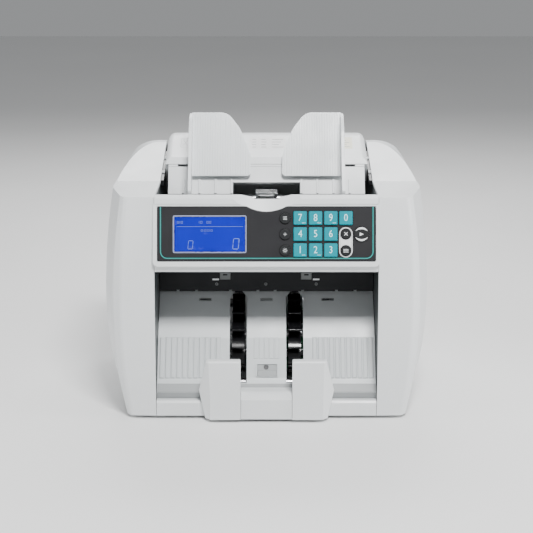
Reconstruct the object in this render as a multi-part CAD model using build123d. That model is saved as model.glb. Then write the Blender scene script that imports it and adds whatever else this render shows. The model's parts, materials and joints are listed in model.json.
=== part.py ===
"""Banknote counting machine: a desktop counter with a top-loading hopper, a tilted display
and keypad, and a front pocket that two bladed wheels stack the counted notes into.

Millimetres. +Z is up, the front faces -Y, +X is the operator's right. The origin is the centre
of the machine's footprint on the desk. Every sub-part is written to parts/NODE.step.
"""

import os
from math import acos, cos, pi, radians, sin, sqrt, tan

from build123d import *

# ---------------------------------------------------------------- housing
HALF_WIDTH = 155.0           # widest point of the side covers
REAR_Y = 120.0               # back of the side covers
POCKET_HALF = 104.0          # half the width of the stacking pocket
FOOT_HEIGHT = 3.0            # underside of the housing above the desk
LEDGE_Z = 208.0              # flat top of the side covers, beside the display
DOME_FRONT_Y = -9.0          # where the side covers start to rise towards the back
DOME_TOP_Z = 232.0
WALL = 2.6                   # moulded wall thickness
BARREL_Z = 110.0             # height at which the side covers are widest
FRONT_FOOT_Y = -109.0        # front face of the side covers at the bottom
FRONT_RADIUS = 837.0         # long arc of the front face, seen from the side
INNER_HALF = 103.6           # half width of the mouldings held between the side covers
REAR_PANEL_Y = 115.4
REAR_PANEL_TOP = 188.0

# ---------------------------------------------------------------- display panel
PANEL_TILT = 15.0            # degrees back from vertical
PANEL_CENTRE = (0.0, -93.2, 176.0)
BEZEL_HALF = 105.0
BEZEL_LOW, BEZEL_HIGH = -30.6, 27.9
OVERLAY_HALF, OVERLAY_LOW, OVERLAY_HIGH = 101.0, -25.7, 25.1
OVERLAY_DEPTH = 0.6
SCREEN = (-85.7, -19.2, -17.2, 16.1)      # display opening: x0, x1, v0, v1
SCOOP_RADIUS, SCOOP_DIP, SCOOP_LOW, SCOOP_HALF = 85.4, 25.0, 19.2, 48.0
BEAM_LOW_Z = 140.8           # underside of the beam over the pocket
KEY_W, KEY_H = 12.3, 12.8
KEY_RISE = 1.2               # key top above the bezel face
KEY_GAP = 0.15
KEY_COLUMNS = (31.05, 45.2, 59.3, 73.2)
KEY_ROWS = (14.35, -0.45, -15.25)
KEYPAD = (("7", "8", "9", "0"), ("4", "5", "6", None), ("1", "2", "3", None))
ROUND_KEYS = {               # x, v, radius
    "key_mode": (17.1, 14.2, 5.1),
    "key_add": (17.1, -0.6, 5.1),
    "key_uv": (17.1, -15.5, 5.1),
    "key_clear": (73.2, -0.2, 5.0),
    "key_batch": (73.2, -15.8, 5.0),
    "key_start": (87.6, -0.5, 6.9),
}

# ---------------------------------------------------------------- hopper
HOPPER_LEAN = 28.0           # hopper back plate, degrees back from vertical
HOPPER_START = (0.0, -6.0, 195.0)
SLOT_LOW, SLOT_HIGH = 28.2, 30.8          # slot the guides slide in, up the plate
LIP_HIGH = 38.0              # top of the lid's front lip, up the plate
GUIDE_INNER, GUIDE_OUTER, GUIDE_FLANGE = 15.2, 73.0, 3.0
GUIDE_LOW, GUIDE_HIGH = 17.0, 82.7
RACK_MODULE, PINION_TEETH = 1.0, 14
PINION_UP = 27.4             # pinion centre, up the plate
RACK_FRONT, RACK_BACK = -6.0, -9.0
RACK_EDGES = (16.5, 38.0)    # back edges of the lower and upper racks, up the plate
LID_HALF = 100.0
LID_HINGE_YZ = (106.0, 198.0)
LID_BARREL_R = 11.0

# ---------------------------------------------------------------- frame and drive
FRAME_IN, FRAME_OUT = 104.4, 106.0        # steel side plates
SHAFT_R = 4.0
BORE_GAP = 0.05
GEAR_MODULE = 2.5
DRUM_TEETH, STACKER_TEETH = 24, 42
STACKER_YZ = (-38.0, 62.0)
GEAR_LINE = radians(52.5)    # direction from the stacker shaft to the drum shaft
GEAR_CENTRES = GEAR_MODULE * (DRUM_TEETH + STACKER_TEETH) / 2
DRUM_YZ = (STACKER_YZ[0] + GEAR_CENTRES * cos(GEAR_LINE), STACKER_YZ[1] + GEAR_CENTRES * sin(GEAR_LINE))
FEED_YZ = (-24.0, 167.0)
KICKER_YZ = (-56.0, 170.0)
MOTOR_YZ = (78.0, 60.0)
SEPARATOR_YZ = (0.0, 189.0)
FEED_R, KICKER_R, DRUM_R = 16.0, 14.5, 24.0
MOTOR_PULLEY_R, DRUM_PULLEY_R, FEED_DRIVE_R, FEED_PULLEY_R = 10.0, 20.0, 16.0, 12.0
DRIVE_X, FEED_DRIVE_X = (110.0, 116.0), (118.0, 124.0)
GEAR_X = (-117.0, -110.0)
BELT_THICK, BELT_GAP = 1.6, 0.3
TIE_BARS_YZ = (SEPARATOR_YZ, (50.0, 176.0), (96.0, 120.0), (10.0, 25.0), (-78.0, 25.0), (30.0, 84.0))

# ---------------------------------------------------------------- stacking pocket
WHEEL_R, WHEEL_HUB_R = 39.0, 11.0
WHEEL_X, WHEEL_WIDTH, WHEEL_BLADES, BLADE_THICK = 27.1, 12.0, 14, 1.3
SLOT_IN, SLOT_OUT = 18.9, 35.3           # wheel slots in the plate
SLOT_LOW_Z, SLOT_SHOULDER_Z, SLOT_NECK_Z, SLOT_NECK = 30.4, 99.5, 105.2, 5.5
PLATE_YZ = ((-34.0, 106.0), (-58.0, 85.0), (-72.0, 68.0), (-92.0, 35.0), (-100.6, 23.0), (-100.6, 9.0))
PLATE_THICK = 2.0
SENSOR_X = (-59.6, 0.0, 59.6)
BAR_TOP_Z, BAR_BACK_Y = 17.5, -101.2
BLOCK_HALF, BLOCK_TOP_Z = 24.0, 28.5
STOP_FRONT_Y, STOP_BACK_Y = -120.0, -109.2
STOP_TOP_Z = 60.0
STOP_IN, STOP_OUT, STOP_OUT_Z = 24.2, 63.5, 29.0      # inner edge, and the widest point outside

# ---------------------------------------------------------------- rear panel fittings
INLET_X, INLET_Z = -62.0, 40.0
INLET_DEPTH, PIN_SETBACK = 20.0, 6.0
SWITCH_X, SWITCH_PIVOT_Y = -33.0, 112.0
PIVOT_R, PIVOT_HALF = 1.6, 7.0           # stub shafts of the rocker
PORTS_X, PORTS_Z = 58.0, 36.0
FOOT_X, FOOT_Y = 86.0, (-84.0, 98.0)

PANEL_PLANE = Plane(
    origin=PANEL_CENTRE,
    x_dir=(1, 0, 0),
    z_dir=(0, -cos(radians(PANEL_TILT)), sin(radians(PANEL_TILT))),
)
# local x is +X, local y runs up the hopper plate, local z points forward out of it
HOPPER_PLANE = Plane(
    origin=HOPPER_START,
    x_dir=(1, 0, 0),
    z_dir=(0, -cos(radians(HOPPER_LEAN)), sin(radians(HOPPER_LEAN))),
)


# ---------------------------------------------------------------- helpers
def block(x0, x1, y0, y1, z0, z1):
    """Box between two corners."""
    return Pos((x0 + x1) / 2, (y0 + y1) / 2, (z0 + z1) / 2) * Box(x1 - x0, y1 - y0, z1 - z0)


def panel_block(x0, x1, v0, v1, n0, n1):
    """Box in the display panel's plane: x across, v up the panel, n out of it."""
    return PANEL_PLANE * block(x0, x1, v0, v1, n0, n1)


def hopper_block(x0, x1, s0, s1, m0, m1):
    """Box in the hopper plate's plane: x across, s up the plate, m out of it."""
    return HOPPER_PLANE * block(x0, x1, s0, s1, m0, m1)


def hopper_point(s, m):
    """(y, z) of a point s up the hopper plate and m out of it."""
    lean = radians(HOPPER_LEAN)
    y = HOPPER_START[1] + s * sin(lean) - m * cos(lean)
    z = HOPPER_START[2] + s * cos(lean) + m * sin(lean)
    return (y, z)


def bar_x(outline, x0, x1):
    """Closed (y, z) outline, run along X from x0 to x1."""
    face = make_face(Plane.YZ * Polyline(*outline, close=True))
    return Pos(x0, 0, 0) * extrude(face, x1 - x0, dir=(1, 0, 0))


def strip_x(points, thick, x0, x1):
    """Plate of even thickness that follows a (y, z) path, run along X; the path is one face."""
    back = offset_path(points, thick)
    return bar_x(list(points) + back[::-1], x0, x1)


def offset_path(points, distance):
    """The (y, z) path moved sideways, to the left of its direction of travel."""
    moved = []
    for i, (y, z) in enumerate(points):
        before = points[max(i - 1, 0)]
        after = points[min(i + 1, len(points) - 1)]
        normals = []
        for a, b in ((before, (y, z)), ((y, z), after)):
            length = sqrt((b[0] - a[0]) ** 2 + (b[1] - a[1]) ** 2)
            if length > 0:
                normals.append((-(b[1] - a[1]) / length, (b[0] - a[0]) / length))
        ny = sum(n[0] for n in normals) / len(normals)
        nz = sum(n[1] for n in normals) / len(normals)
        scale = distance / (ny * ny + nz * nz)
        moved.append((y + ny * scale, z + nz * scale))
    return moved


def rod_x(yz, radius, x0, x1):
    """Round bar along X."""
    return Pos((x0 + x1) / 2, yz[0], yz[1]) * Rot(0, 90, 0) * Cylinder(radius, x1 - x0)


def tube_x(yz, outer, inner, x0, x1):
    """Round tube along X."""
    return rod_x(yz, outer, x0, x1) - rod_x(yz, inner, x0 - 1, x1 + 1)


def mirrored(shape):
    """The shape's mirror image across the middle plane."""
    return mirror(shape, about=Plane.YZ)


def group(shapes):
    """Separate solids that share one node."""
    return Compound(children=[solid for shape in shapes for solid in shape.solids()])


# ---------------------------------------------------------------- side covers
def front_y(z):
    """Front face of the side covers at height z."""
    return FRONT_FOOT_Y + FRONT_RADIUS - sqrt(FRONT_RADIUS**2 - (z - FOOT_HEIGHT) ** 2)


def barrel(z, peak, drop_low, drop_high):
    """Half width at height z: widest at BARREL_Z, drawn in below and above it."""
    if z < BARREL_Z:
        return peak - drop_low * ((BARREL_Z - z) / (BARREL_Z - FOOT_HEIGHT)) ** 2.2
    return peak - drop_high * ((z - BARREL_Z) / (LEDGE_Z - BARREL_Z)) ** 2


def cheek_section(z, inset):
    """Horizontal section of the right side cover, pulled in by inset all round."""
    front = front_y(z) + inset
    inner = POCKET_HALF if inset == 0 else POCKET_HALF - 10
    crease = barrel(z, 136.0, 8.5, 5.0) - inset * 0.6
    corner = barrel(z, 143.5, 11.5, 7.5) - inset
    side = barrel(z, HALF_WIDTH, 18.5, 7.5) - inset
    rear = REAR_Y - inset
    points = [
        (inner, front),
        (crease, front + 0.8),
        (corner, front + 7.0),
        (side, front + 48.0),
        (side, 60.0),
        (side - 9.0, rear - 9.0),
        (side - 15.0, rear),
        (inner, rear),
    ]
    wire = FilletPolyline(*points, radius=[0, 6, 4, 50, 50, 6, 5, 0], close=True)
    return Pos(0, 0, z) * make_face(wire)


def rear_outline(inset):
    """Side view of everything in front of the machine's rounded back."""
    rear = REAR_Y - inset
    top = DOME_TOP_Z + 4.0 - inset
    return (
        Line((-140, -20), (-140, top))
        + Line((-140, top), (78, top))
        + ThreePointArc((78, top), (rear - 12, 221 - inset), (rear, 185))
        + Line((rear, 185), (rear - 3, -20))
        + Line((rear - 3, -20), (-140, -20))
    )


def crown_outline(inset):
    """Front view of the dome over the right side cover."""
    inner = POCKET_HALF if inset == 0 else POCKET_HALF - 10
    outer = 148.5 - inset
    top = DOME_TOP_Z - inset
    return (
        Line((inner, 190), (inner, top))
        + Line((inner, top), (108, top))
        + ThreePointArc((108, top), (136.5, top - 9.5), (outer, top - 31))
        + Line((outer, top - 31), (outer, 190))
        + Line((outer, 190), (inner, 190))
    )


def cheek_form(inset):
    """Outer form of the right side cover, or its hollow when inset is the wall thickness."""
    floor = FOOT_HEIGHT + inset
    ledge = LEDGE_Z - inset
    steps = 7
    heights = [floor + (ledge - floor) * i / (steps - 1) for i in range(steps)]
    body = loft([cheek_section(z, inset) for z in heights])
    dome_front = DOME_FRONT_Y + inset
    crown = Plane.XZ * Pos(0, 0, -REAR_Y) * make_face(crown_outline(inset))
    plan = extrude(Pos(0, 0, 185 - LEDGE_Z) * cheek_section(LEDGE_Z, inset + 1.5), 60)
    dome = extrude(crown, REAR_Y - dome_front, dir=(0, -1, 0)) & plan
    lift = LEDGE_Z + 0.4 - inset
    rise = tan(radians(14.8)) * (150.0 - dome_front)
    under = bar_x(
        [(dome_front, 180), (dome_front, lift), (150, lift + rise), (150, 180)],
        POCKET_HALF - 20,
        HALF_WIDTH + 10,
    )
    back = extrude(Plane.YZ * make_face(rear_outline(inset)), HALF_WIDTH + 10)
    return (body + (dome & under)) & back


def make_side_cover():
    """Right side cover: a hollow moulding, open towards the frame."""
    return cheek_form(0) - cheek_form(WALL)


# ---------------------------------------------------------------- base and back
def make_base_pan():
    """Base with turned-up sides and the two bars across the front of the pocket."""
    half = INNER_HALF
    floor = block(-half, half, BAR_BACK_Y, REAR_PANEL_Y - 0.2, FOOT_HEIGHT, FOOT_HEIGHT + WALL)
    flange = block(half - 1.6, half, -96, 110, FOOT_HEIGHT + 1, 20)
    rail = [(FRONT_FOOT_Y, FOOT_HEIGHT), (FRONT_FOOT_Y + 0.3, BAR_TOP_Z - 2), (FRONT_FOOT_Y + 2, BAR_TOP_Z)]
    rail += [(BAR_BACK_Y, BAR_TOP_Z), (BAR_BACK_Y, FOOT_HEIGHT)]
    bar = bar_x(rail, BLOCK_HALF, half)
    pan = floor + flange + mirrored(flange) + bar + mirrored(bar)
    vents = [block(x - 14, x + 14, y, y + 3, 0, 10) for x in (-50, 0, 50) for y in range(20, 80, 9)]
    return pan - vents


def make_rear_panel():
    """Back of the machine, with openings for the inlet, the sockets and the air vents."""
    top = REAR_PANEL_TOP
    panel = block(-INNER_HALF, INNER_HALF, REAR_PANEL_Y, REAR_PANEL_Y + WALL, FOOT_HEIGHT, top)
    cuts = [block(INLET_X - 14, SWITCH_X + 8, 110, 125, INLET_Z - 12, INLET_Z + 12)]
    cuts.append(block(PORTS_X - 22, PORTS_X + 22, 110, 125, PORTS_Z - 8, PORTS_Z + 8))
    for row in range(6):
        z = 96 + row * 11
        cuts += [block(x - 9, x + 9, 110, 125, z, z + 3.5) for x in range(-69, 70, 23)]
    return panel - cuts


def make_rubber_feet():
    foot = Pos(0, 0, FOOT_HEIGHT / 2) * Cylinder(9, FOOT_HEIGHT)
    foot = chamfer(foot.edges().group_by(Axis.Z)[0], 0.8)
    return group([Pos(x, y, 0) * foot for x in (-FOOT_X, FOOT_X) for y in FOOT_Y])


def make_housing_screws():
    """Cross-head screws that hold the rear panel."""
    face = REAR_PANEL_Y + WALL
    cross = Box(3.2, 0.7, 1.2) + Box(0.7, 3.2, 1.2)
    head = Rot(-90, 0, 0) * (Cylinder(3.2, 1.6) - Pos(0, 0, 0.8) * cross)
    places = [(x, z) for x in (-97, 97) for z in (12, 92, 176)]
    return group([Pos(x, face + 0.8, z) * head for x, z in places])


# ---------------------------------------------------------------- display panel
def scoop():
    """Round cutter whose lowest line dips into the panel's top edge, for a fingertip."""
    dip = radians(SCOOP_DIP)
    along = Vector(0, cos(dip), -sin(dip))
    centre = Vector(0, SCOOP_LOW, 0) + Vector(0, sin(dip), cos(dip)) * SCOOP_RADIUS
    plane = Plane(origin=centre, x_dir=(1, 0, 0), z_dir=along)
    return PANEL_PLANE * plane * Cylinder(SCOOP_RADIUS, 120)


def key_places():
    """Name, x, v and radius of every key; the square keys have no radius."""
    places = []
    for v, row in zip(KEY_ROWS, KEYPAD):
        places += [("key_" + digit, x, v, None) for x, digit in zip(KEY_COLUMNS, row) if digit]
    places += [(name, *place) for name, place in ROUND_KEYS.items()]
    return places


def key_prism(x, v, radius, grow, n0, n1):
    """Straight block with a key's outline, larger by grow all round."""
    if radius is None:
        outline = RectangleRounded(KEY_W + 2 * grow, KEY_H + 2 * grow, 1.2 + grow)
    else:
        outline = Circle(radius + grow)
    return PANEL_PLANE * Pos(x, v, n0) * extrude(outline, n1 - n0)


def make_key(x, v, radius):
    """Key cap with a crowned edge and a flange that stops it behind the bezel."""
    cap = key_prism(x, v, radius, 0, -4.2, KEY_RISE - 0.5)
    rim = key_prism(x, v, radius, -0.5, KEY_RISE - 0.5, KEY_RISE)
    flange = key_prism(x, v, radius, 0.7, -4.2, -3.2)
    return cap + rim + flange


def bezel_outline():
    """Front outline of the bezel, square at the top and rounded at the bottom."""
    width, height = 2 * BEZEL_HALF, BEZEL_HIGH - BEZEL_LOW
    sketch = Pos(0, (BEZEL_HIGH + BEZEL_LOW) / 2) * Rectangle(width, height)
    return fillet(sketch.vertices().group_by(Axis.Y)[0], 5)


def make_rim():
    """Rounded edge over the display, down to the hopper mouth, with a notch for the fingers."""
    outline = [(-86.6, 202.4), (-85.3, 207.4), (-82.9, 209.9), (-79.6, 209.9), (-77.4, 205.0)]
    outline += [(-75.6, 199.5), (-78.0, 198.6), (-80.3, 204.2), (-82.6, 206.2), (-83.4, 202.4)]
    rim = bar_x(outline, -INNER_HALF, INNER_HALF)
    rim += bar_x(outline[:7] + [(-84.0, 199.0)], -SCOOP_HALF, SCOOP_HALF)
    notch = Plane.XZ * Polyline((-17.2, 212), (-11.0, 205.4), (11.0, 205.4), (17.2, 212), close=True)
    return rim - Pos(0, -60, 0) * extrude(make_face(notch), 40, dir=(0, -1, 0))


def make_display_bezel():
    """Tilted front panel moulding that carries the screen, the overlay and the keys."""
    low, high, half = BEZEL_LOW, BEZEL_HIGH, INNER_HALF
    flange = PANEL_PLANE * Pos(0, 0, -1) * extrude(bezel_outline(), 1)
    plate = flange + panel_block(-half, half, low + 4, high, -WALL, -0.5)
    plate += panel_block(-half + 4, half - 4, low + 0.2, high, -WALL, -0.5)
    plate += panel_block(-half, half, low + 2, low + 4.4, -14, -0.5)
    plate += panel_block(-half, half, high - 2.4, high, -8, -0.5)
    side = panel_block(half - 2, half, low + 2, high, -10, -0.5)
    plate += side + mirrored(side)
    beam_low = BEAM_LOW_Z
    beam = bar_x([(-98.9, 148.5), (-98.3, beam_low), (-86.0, beam_low), (-86.0, 148.5)], -half, half)
    plate += beam + make_rim() + panel_block(-SCOOP_HALF, SCOOP_HALF, high - 5.3, high, -8, -0.5)
    for x, v in ((8, 20), (97, 20), (8, -24), (97, -24)):
        plate += PANEL_PLANE * Pos(x, v, -4.3) * Cylinder(2.4, 3.4)
    recess = panel_block(
        -OVERLAY_HALF - 0.2, OVERLAY_HALF + 0.2, OVERLAY_LOW - 0.2, OVERLAY_HIGH + 0.2, -OVERLAY_DEPTH, 1
    )
    x0, x1, v0, v1 = SCREEN
    cuts = [recess, panel_block(x0, x1, v0, v1, -10, 1)]
    cuts += [key_prism(x, v, radius, KEY_GAP, -5, 1) for _, x, v, radius in key_places()]
    return plate - cuts - scoop()


def make_keypad_overlay():
    """Printed film over the panel, cut out round the screen and the keys."""
    film = Pos(0, (OVERLAY_LOW + OVERLAY_HIGH) / 2) * RectangleRounded(
        2 * OVERLAY_HALF, OVERLAY_HIGH - OVERLAY_LOW, 1.5
    )
    sheet = PANEL_PLANE * Pos(0, 0, -OVERLAY_DEPTH) * extrude(film, 0.4)
    x0, x1, v0, v1 = SCREEN
    cuts = [panel_block(x0, x1, v0, v1, -5, 5)]
    cuts += [key_prism(x, v, radius, KEY_GAP, -5, 5) for _, x, v, radius in key_places()]
    return sheet - cuts - scoop()


def make_display_window():
    x0, x1, v0, v1 = SCREEN
    return panel_block(x0 + 0.1, x1 - 0.1, v0 + 0.1, v1 - 0.1, -1.6, -0.4)


def make_display_module():
    """Liquid crystal module behind the window, with its metal frame and board."""
    x0, x1, v0, v1 = SCREEN
    frame = panel_block(x0 - 4, x1 + 4, v0 - 4, v1 + 4, -7.4, -2.8)
    glass = panel_block(x0 + 0.6, x1 - 0.6, v0 + 0.6, v1 - 0.6, -2.9, -1.9)
    board = panel_block(x0 - 7, x1 + 7, v0 - 6, v1 + 6, -9.0, -7.3)
    return frame + glass + board


def make_control_board():
    """Keypad board with one dome switch behind each key and a cable header."""
    board = panel_block(6, 100, -26.0, 22, -7.6, -6.0)
    for _, x, v, _ in key_places():
        board += PANEL_PLANE * Pos(x, v, -5.6) * Cylinder(2.6, 1.0)
    return board + panel_block(30, 60, -4, 4, -13.0, -7.5)


# ---------------------------------------------------------------- hopper
def make_hopper_floor():
    """Black tray under the notes, slotted for the kicker and feed rollers."""
    outline = [(-77.4, 196.2), (-75.0, 197.0), (-70.0, 183.6), (-12.0, 180.6), (-12.0, 178.2)]
    outline += [(-71.6, 181.2)]
    tray = bar_x(outline, -INNER_HALF, INNER_HALF)
    cuts = []
    for side in (-1, 1):
        cuts.append(block(side * 46 - 10, side * 46 + 10, -74, -38, 170, 190))
        cuts.append(block(side * 20 - 11, side * 20 + 11, -42, -4, 170, 190))
    return tray - cuts


def make_separator_block():
    """Steel finger that lets one note at a time over the feed roller."""
    arm = [(-4.6, 186.0), (4.6, 184.0), (5.5, 193.6), (-4.2, 193.2), (-20.0, 196.5), (-31.0, 203.0)]
    arm += [(-36.5, 200.0), (-30.0, 190.5), (-22.0, 184.4)]
    finger = bar_x(arm, -7.5, 7.5) - rod_x(SEPARATOR_YZ, SHAFT_R + BORE_GAP, -20, 20)
    nose = Pos(-10.2, -32.0, 200.0) * Rot(0, 90, 0) * extrude(RegularPolygon(4.8, 6), 20.4)
    return finger + nose


def make_hopper_back_plate():
    """Sloping plate the notes lean on, with the carrier for the guides' racks behind it."""
    half = LID_HALF - 3.2
    plate = hopper_block(-half, half, 0, SLOT_LOW, -2.4, 0)
    for x in (34.4, 50.1, 65.9, 81.8):
        rib = hopper_block(x - 1, x + 1, 0.5, 15, -1, 1.2)
        plate += rib + mirrored(rib)
    plate -= hopper_block(-33, 33, -1, 12, -5, 5)
    web = hopper_block(half - 2.5, half, 14, SLOT_LOW, -13, -1)
    carrier = hopper_block(-half, half, 14, 43, -13, -11)
    stud = HOPPER_PLANE * Pos(0, PINION_UP, -8.5) * Cylinder(2.5, 6)
    return plate + web + mirrored(web) + carrier + stud


def rack_teeth(pitch_line, point_up):
    """Outline points of straight rack teeth along x from -24 to 24 in the hopper plane."""
    pitch = pi * RACK_MODULE
    sign = 1 if point_up else -1
    points = []
    for i in range(-7, 8):
        centre = i * pitch
        for dx, ds in ((-1.15, -1.15), (-0.36, 0.9), (0.36, 0.9), (1.15, -1.15)):
            points.append((centre + dx * RACK_MODULE, pitch_line + sign * ds * RACK_MODULE))
    return points


def hopper_prism(points, m0, m1):
    """Closed (x, s) outline in the hopper plane, from depth m0 to m1."""
    face = make_face(Polyline(*points, close=True))
    return HOPPER_PLANE * Pos(0, 0, m0) * extrude(face, m1 - m0, dir=(0, 0, 1))


def guide_plate():
    """Right guide's plate: square outside, sloping and rounded towards the middle."""
    corners = [
        (GUIDE_OUTER + GUIDE_FLANGE, GUIDE_LOW),
        (GUIDE_OUTER + GUIDE_FLANGE, GUIDE_HIGH),
        (38.5, GUIDE_HIGH),
        (26.0, 66.0),
        (15.6, 38.5),
        (GUIDE_INNER, GUIDE_LOW),
    ]
    wire = FilletPolyline(*corners, radius=[1, 4, 14, 30, 8, 4], close=True)
    return HOPPER_PLANE * Pos(0, 0, 3.0) * extrude(make_face(wire), 2.5)


def guide_flange():
    """Right guide's side wall, which keeps the notes' edges in line."""
    side = Line((3.0, -1.5), (3.0, GUIDE_HIGH)) + ThreePointArc(
        (3.0, GUIDE_HIGH), (15.6, 71.5), (21.0, 51.5)
    )
    side += Line((21.0, 51.5), (25.2, -4.0)) + ThreePointArc((25.2, -4.0), (23.0, -7.6), (19.0, -9.0))
    side += Line((19.0, -9.0), (3.0, -1.5))
    across = Plane(origin=(GUIDE_OUTER + GUIDE_FLANGE, 0, 0), x_dir=(0, 0, 1), z_dir=(-1, 0, 0))
    return HOPPER_PLANE * (across * extrude(make_face(side), GUIDE_FLANGE))


def make_hopper_guide(right):
    """Note guide with its neck through the slot and its rack behind the plate."""
    shell = guide_plate() + guide_flange()
    low, high = (RACK_EDGES[0], 31.0) if right else (28.0, RACK_EDGES[1])
    neck = hopper_block(42, 70, 28.7, 30.2, RACK_FRONT - 0.5, 3.5)
    bridge = hopper_block(42, 70, low, high, RACK_BACK, RACK_FRONT)
    radius = RACK_MODULE * PINION_TEETH / 2
    pitch_line = PINION_UP - radius if right else PINION_UP + radius
    teeth = rack_teeth(pitch_line, right)
    edge = RACK_EDGES[0] if right else RACK_EDGES[1]
    if not right:
        shell, neck, bridge = mirrored(shell), mirrored(neck), mirrored(bridge)
    reach = 43.0 if right else -43.0
    root_line = teeth[0][1]
    if right:
        outline = [(reach, edge), (reach, root_line)] + teeth[::-1] + [(-24.6, root_line), (-24.6, edge)]
    else:
        outline = [(reach, edge), (reach, root_line)] + teeth + [(24.6, root_line), (24.6, edge)]
    return shell + neck + bridge + hopper_prism(outline, RACK_BACK, RACK_FRONT)


def make_guide_pinion():
    """Small gear between the two racks, so that the guides move by the same amount."""
    wheel = extrude(gear_face(RACK_MODULE, PINION_TEETH, 0, 0.22), 3) - Cylinder(2.55, 20)
    return HOPPER_PLANE * Pos(0, PINION_UP, RACK_BACK) * wheel


# ---------------------------------------------------------------- lid
def lid_outline(inset):
    """Side view of the lid; the inner one is open underneath."""
    lip_low = hopper_point(SLOT_HIGH if inset == 0 else SLOT_HIGH - 20, -inset)
    lip_high = hopper_point(LIP_HIGH - inset * 0.8, -inset)
    top = 243.0 - inset
    back = 117.0 - inset
    base = LID_HINGE_YZ[1] if inset == 0 else 180.0
    front_base = (24.0, LID_HINGE_YZ[1] + 4) if inset == 0 else (4.0, 180.0)
    curve = ThreePointArc((53.0, top), (98.0 - inset, 232.0 - inset), (back, 205.0))
    under = hopper_point(SLOT_HIGH if inset == 0 else SLOT_HIGH - 20, -WALL - 1.5)
    start = Polyline(front_base, under, lip_low, lip_high, (53.0, top))
    end = Polyline((back, 205.0), (back, base), front_base)
    return start + curve + end


def make_rear_cover():
    """Hinged lid over the note path: a hollow moulding on a long hinge barrel."""
    half, y, z = LID_HALF, LID_HINGE_YZ[0], LID_HINGE_YZ[1]
    outer = Pos(-half, 0, 0) * extrude(Plane.YZ * make_face(lid_outline(0)), 2 * half)
    side_edges = outer.faces().sort_by(Axis.X)
    rims = [e for f in (side_edges[0], side_edges[-1]) for e in f.edges() if e.center().Z > 226]
    outer = fillet(rims, 7)
    inner = Pos(-half + WALL, 0, 0) * extrude(Plane.YZ * make_face(lid_outline(WALL)), 2 * (half - WALL))
    shell = outer - inner
    shell += rod_x(LID_HINGE_YZ, LID_BARREL_R, -half, half)
    shell -= rod_x(LID_HINGE_YZ, LID_BARREL_R - 3.0, -half + 8, half - 8)
    shell -= block(-half + 8, half - 8, y - 20, y, z - 20, z + 3)
    return shell - rod_x(LID_HINGE_YZ, SHAFT_R + BORE_GAP, -half - 1, half + 1)


# ---------------------------------------------------------------- frame
def make_side_frame():
    """Right side plate: carries every shaft and closes the side of the pocket."""
    front = [(front_y(z) + WALL + 0.6, z) for z in (8, 60, 110, 143, 190)]
    top_slope = tan(radians(14.8))
    ledge_under = LEDGE_Z - WALL - 1.0
    outline = front + [(-80.0, ledge_under), (DOME_FRONT_Y + 4, ledge_under)]
    outline += [(84.0, ledge_under + (84.0 - DOME_FRONT_Y - 4) * top_slope), (96, 219), (111, 206)]
    outline += [(114.4, 186), (114.4, 8)]
    plate = bar_x(outline, FRAME_IN, FRAME_OUT)
    for shaft in (STACKER_YZ, DRUM_YZ, FEED_YZ, KICKER_YZ):
        plate -= rod_x(shaft, SHAFT_R + BORE_GAP, 100, 110)
    return plate - rod_x(MOTOR_YZ, 9, 100, 110)


def make_tie_bars():
    """Cross bars between the side plates; the last is the lid's hinge rod."""
    bars = [rod_x(yz, SHAFT_R, -FRAME_IN, FRAME_IN) for yz in TIE_BARS_YZ]
    return group(bars + [rod_x(LID_HINGE_YZ, SHAFT_R, -FRAME_IN, FRAME_IN)])


# ---------------------------------------------------------------- drive
def gear_face(module, teeth, turn, backlash):
    """Involute spur gear outline; turn is the angle of one tooth's middle, in degrees."""
    pitch_r = module * teeth / 2
    base_r = pitch_r * cos(radians(20))
    root_r = pitch_r - 1.25 * module
    tip_r = pitch_r + 0.9 * module
    half_pitch_angle = (pi * module / 2 - backlash) / 2 / pitch_r
    involute = tan(radians(20)) - radians(20)

    def half_angle(r):
        roll = acos(min(base_r / r, 1.0))
        return half_pitch_angle + involute - (tan(roll) - roll)

    flank = [max(base_r, root_r + 0.05) + (tip_r - max(base_r, root_r + 0.05)) * i / 4 for i in range(5)]
    points = []
    for i in range(teeth):
        middle = radians(turn) + 2 * pi * i / teeth
        polar = [(root_r, middle - half_angle(flank[0]) - 0.01)]
        polar += [(r, middle - half_angle(r)) for r in flank]
        polar += [(r, middle + half_angle(r)) for r in flank[::-1]]
        polar += [(root_r, middle + half_angle(flank[0]) + 0.01)]
        points += [(r * cos(a), r * sin(a)) for r, a in polar]
    return make_face(Polyline(*points, close=True))


def spur_gear(yz, teeth, turn, x0, x1):
    """Spur gear on a shaft along X; turn is measured from +Y towards +Z."""
    face = gear_face(GEAR_MODULE, teeth, turn, 0.3)
    wheel = extrude(face, x1 - x0) - Cylinder(SHAFT_R + 0.02, 60)
    lightening = (teeth * GEAR_MODULE / 2 - 5 + SHAFT_R + 5) / 2
    for i in range(5):
        angle = 2 * pi * i / 5
        wheel -= Pos(lightening * cos(angle), lightening * sin(angle)) * Cylinder(lightening / 3, 60)
    plane = Plane(origin=(x0, yz[0], yz[1]), x_dir=(0, 1, 0), z_dir=(1, 0, 0))
    return plane * wheel


def belt_loop(pulleys, x0, x1):
    """Flat belt round a set of pulleys, each given as centre and radius."""

    def wrapped(extra):
        rings = []
        for (y, z), radius in pulleys:
            rings += (Pos(y, z) * Circle(radius + extra)).edges()
        return extrude(make_hull(rings), x1 - x0)

    loop = wrapped(BELT_GAP + BELT_THICK) - wrapped(BELT_GAP)
    plane = Plane(origin=(x0, 0, 0), x_dir=(0, 1, 0), z_dir=(1, 0, 0))
    return plane * loop


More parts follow.
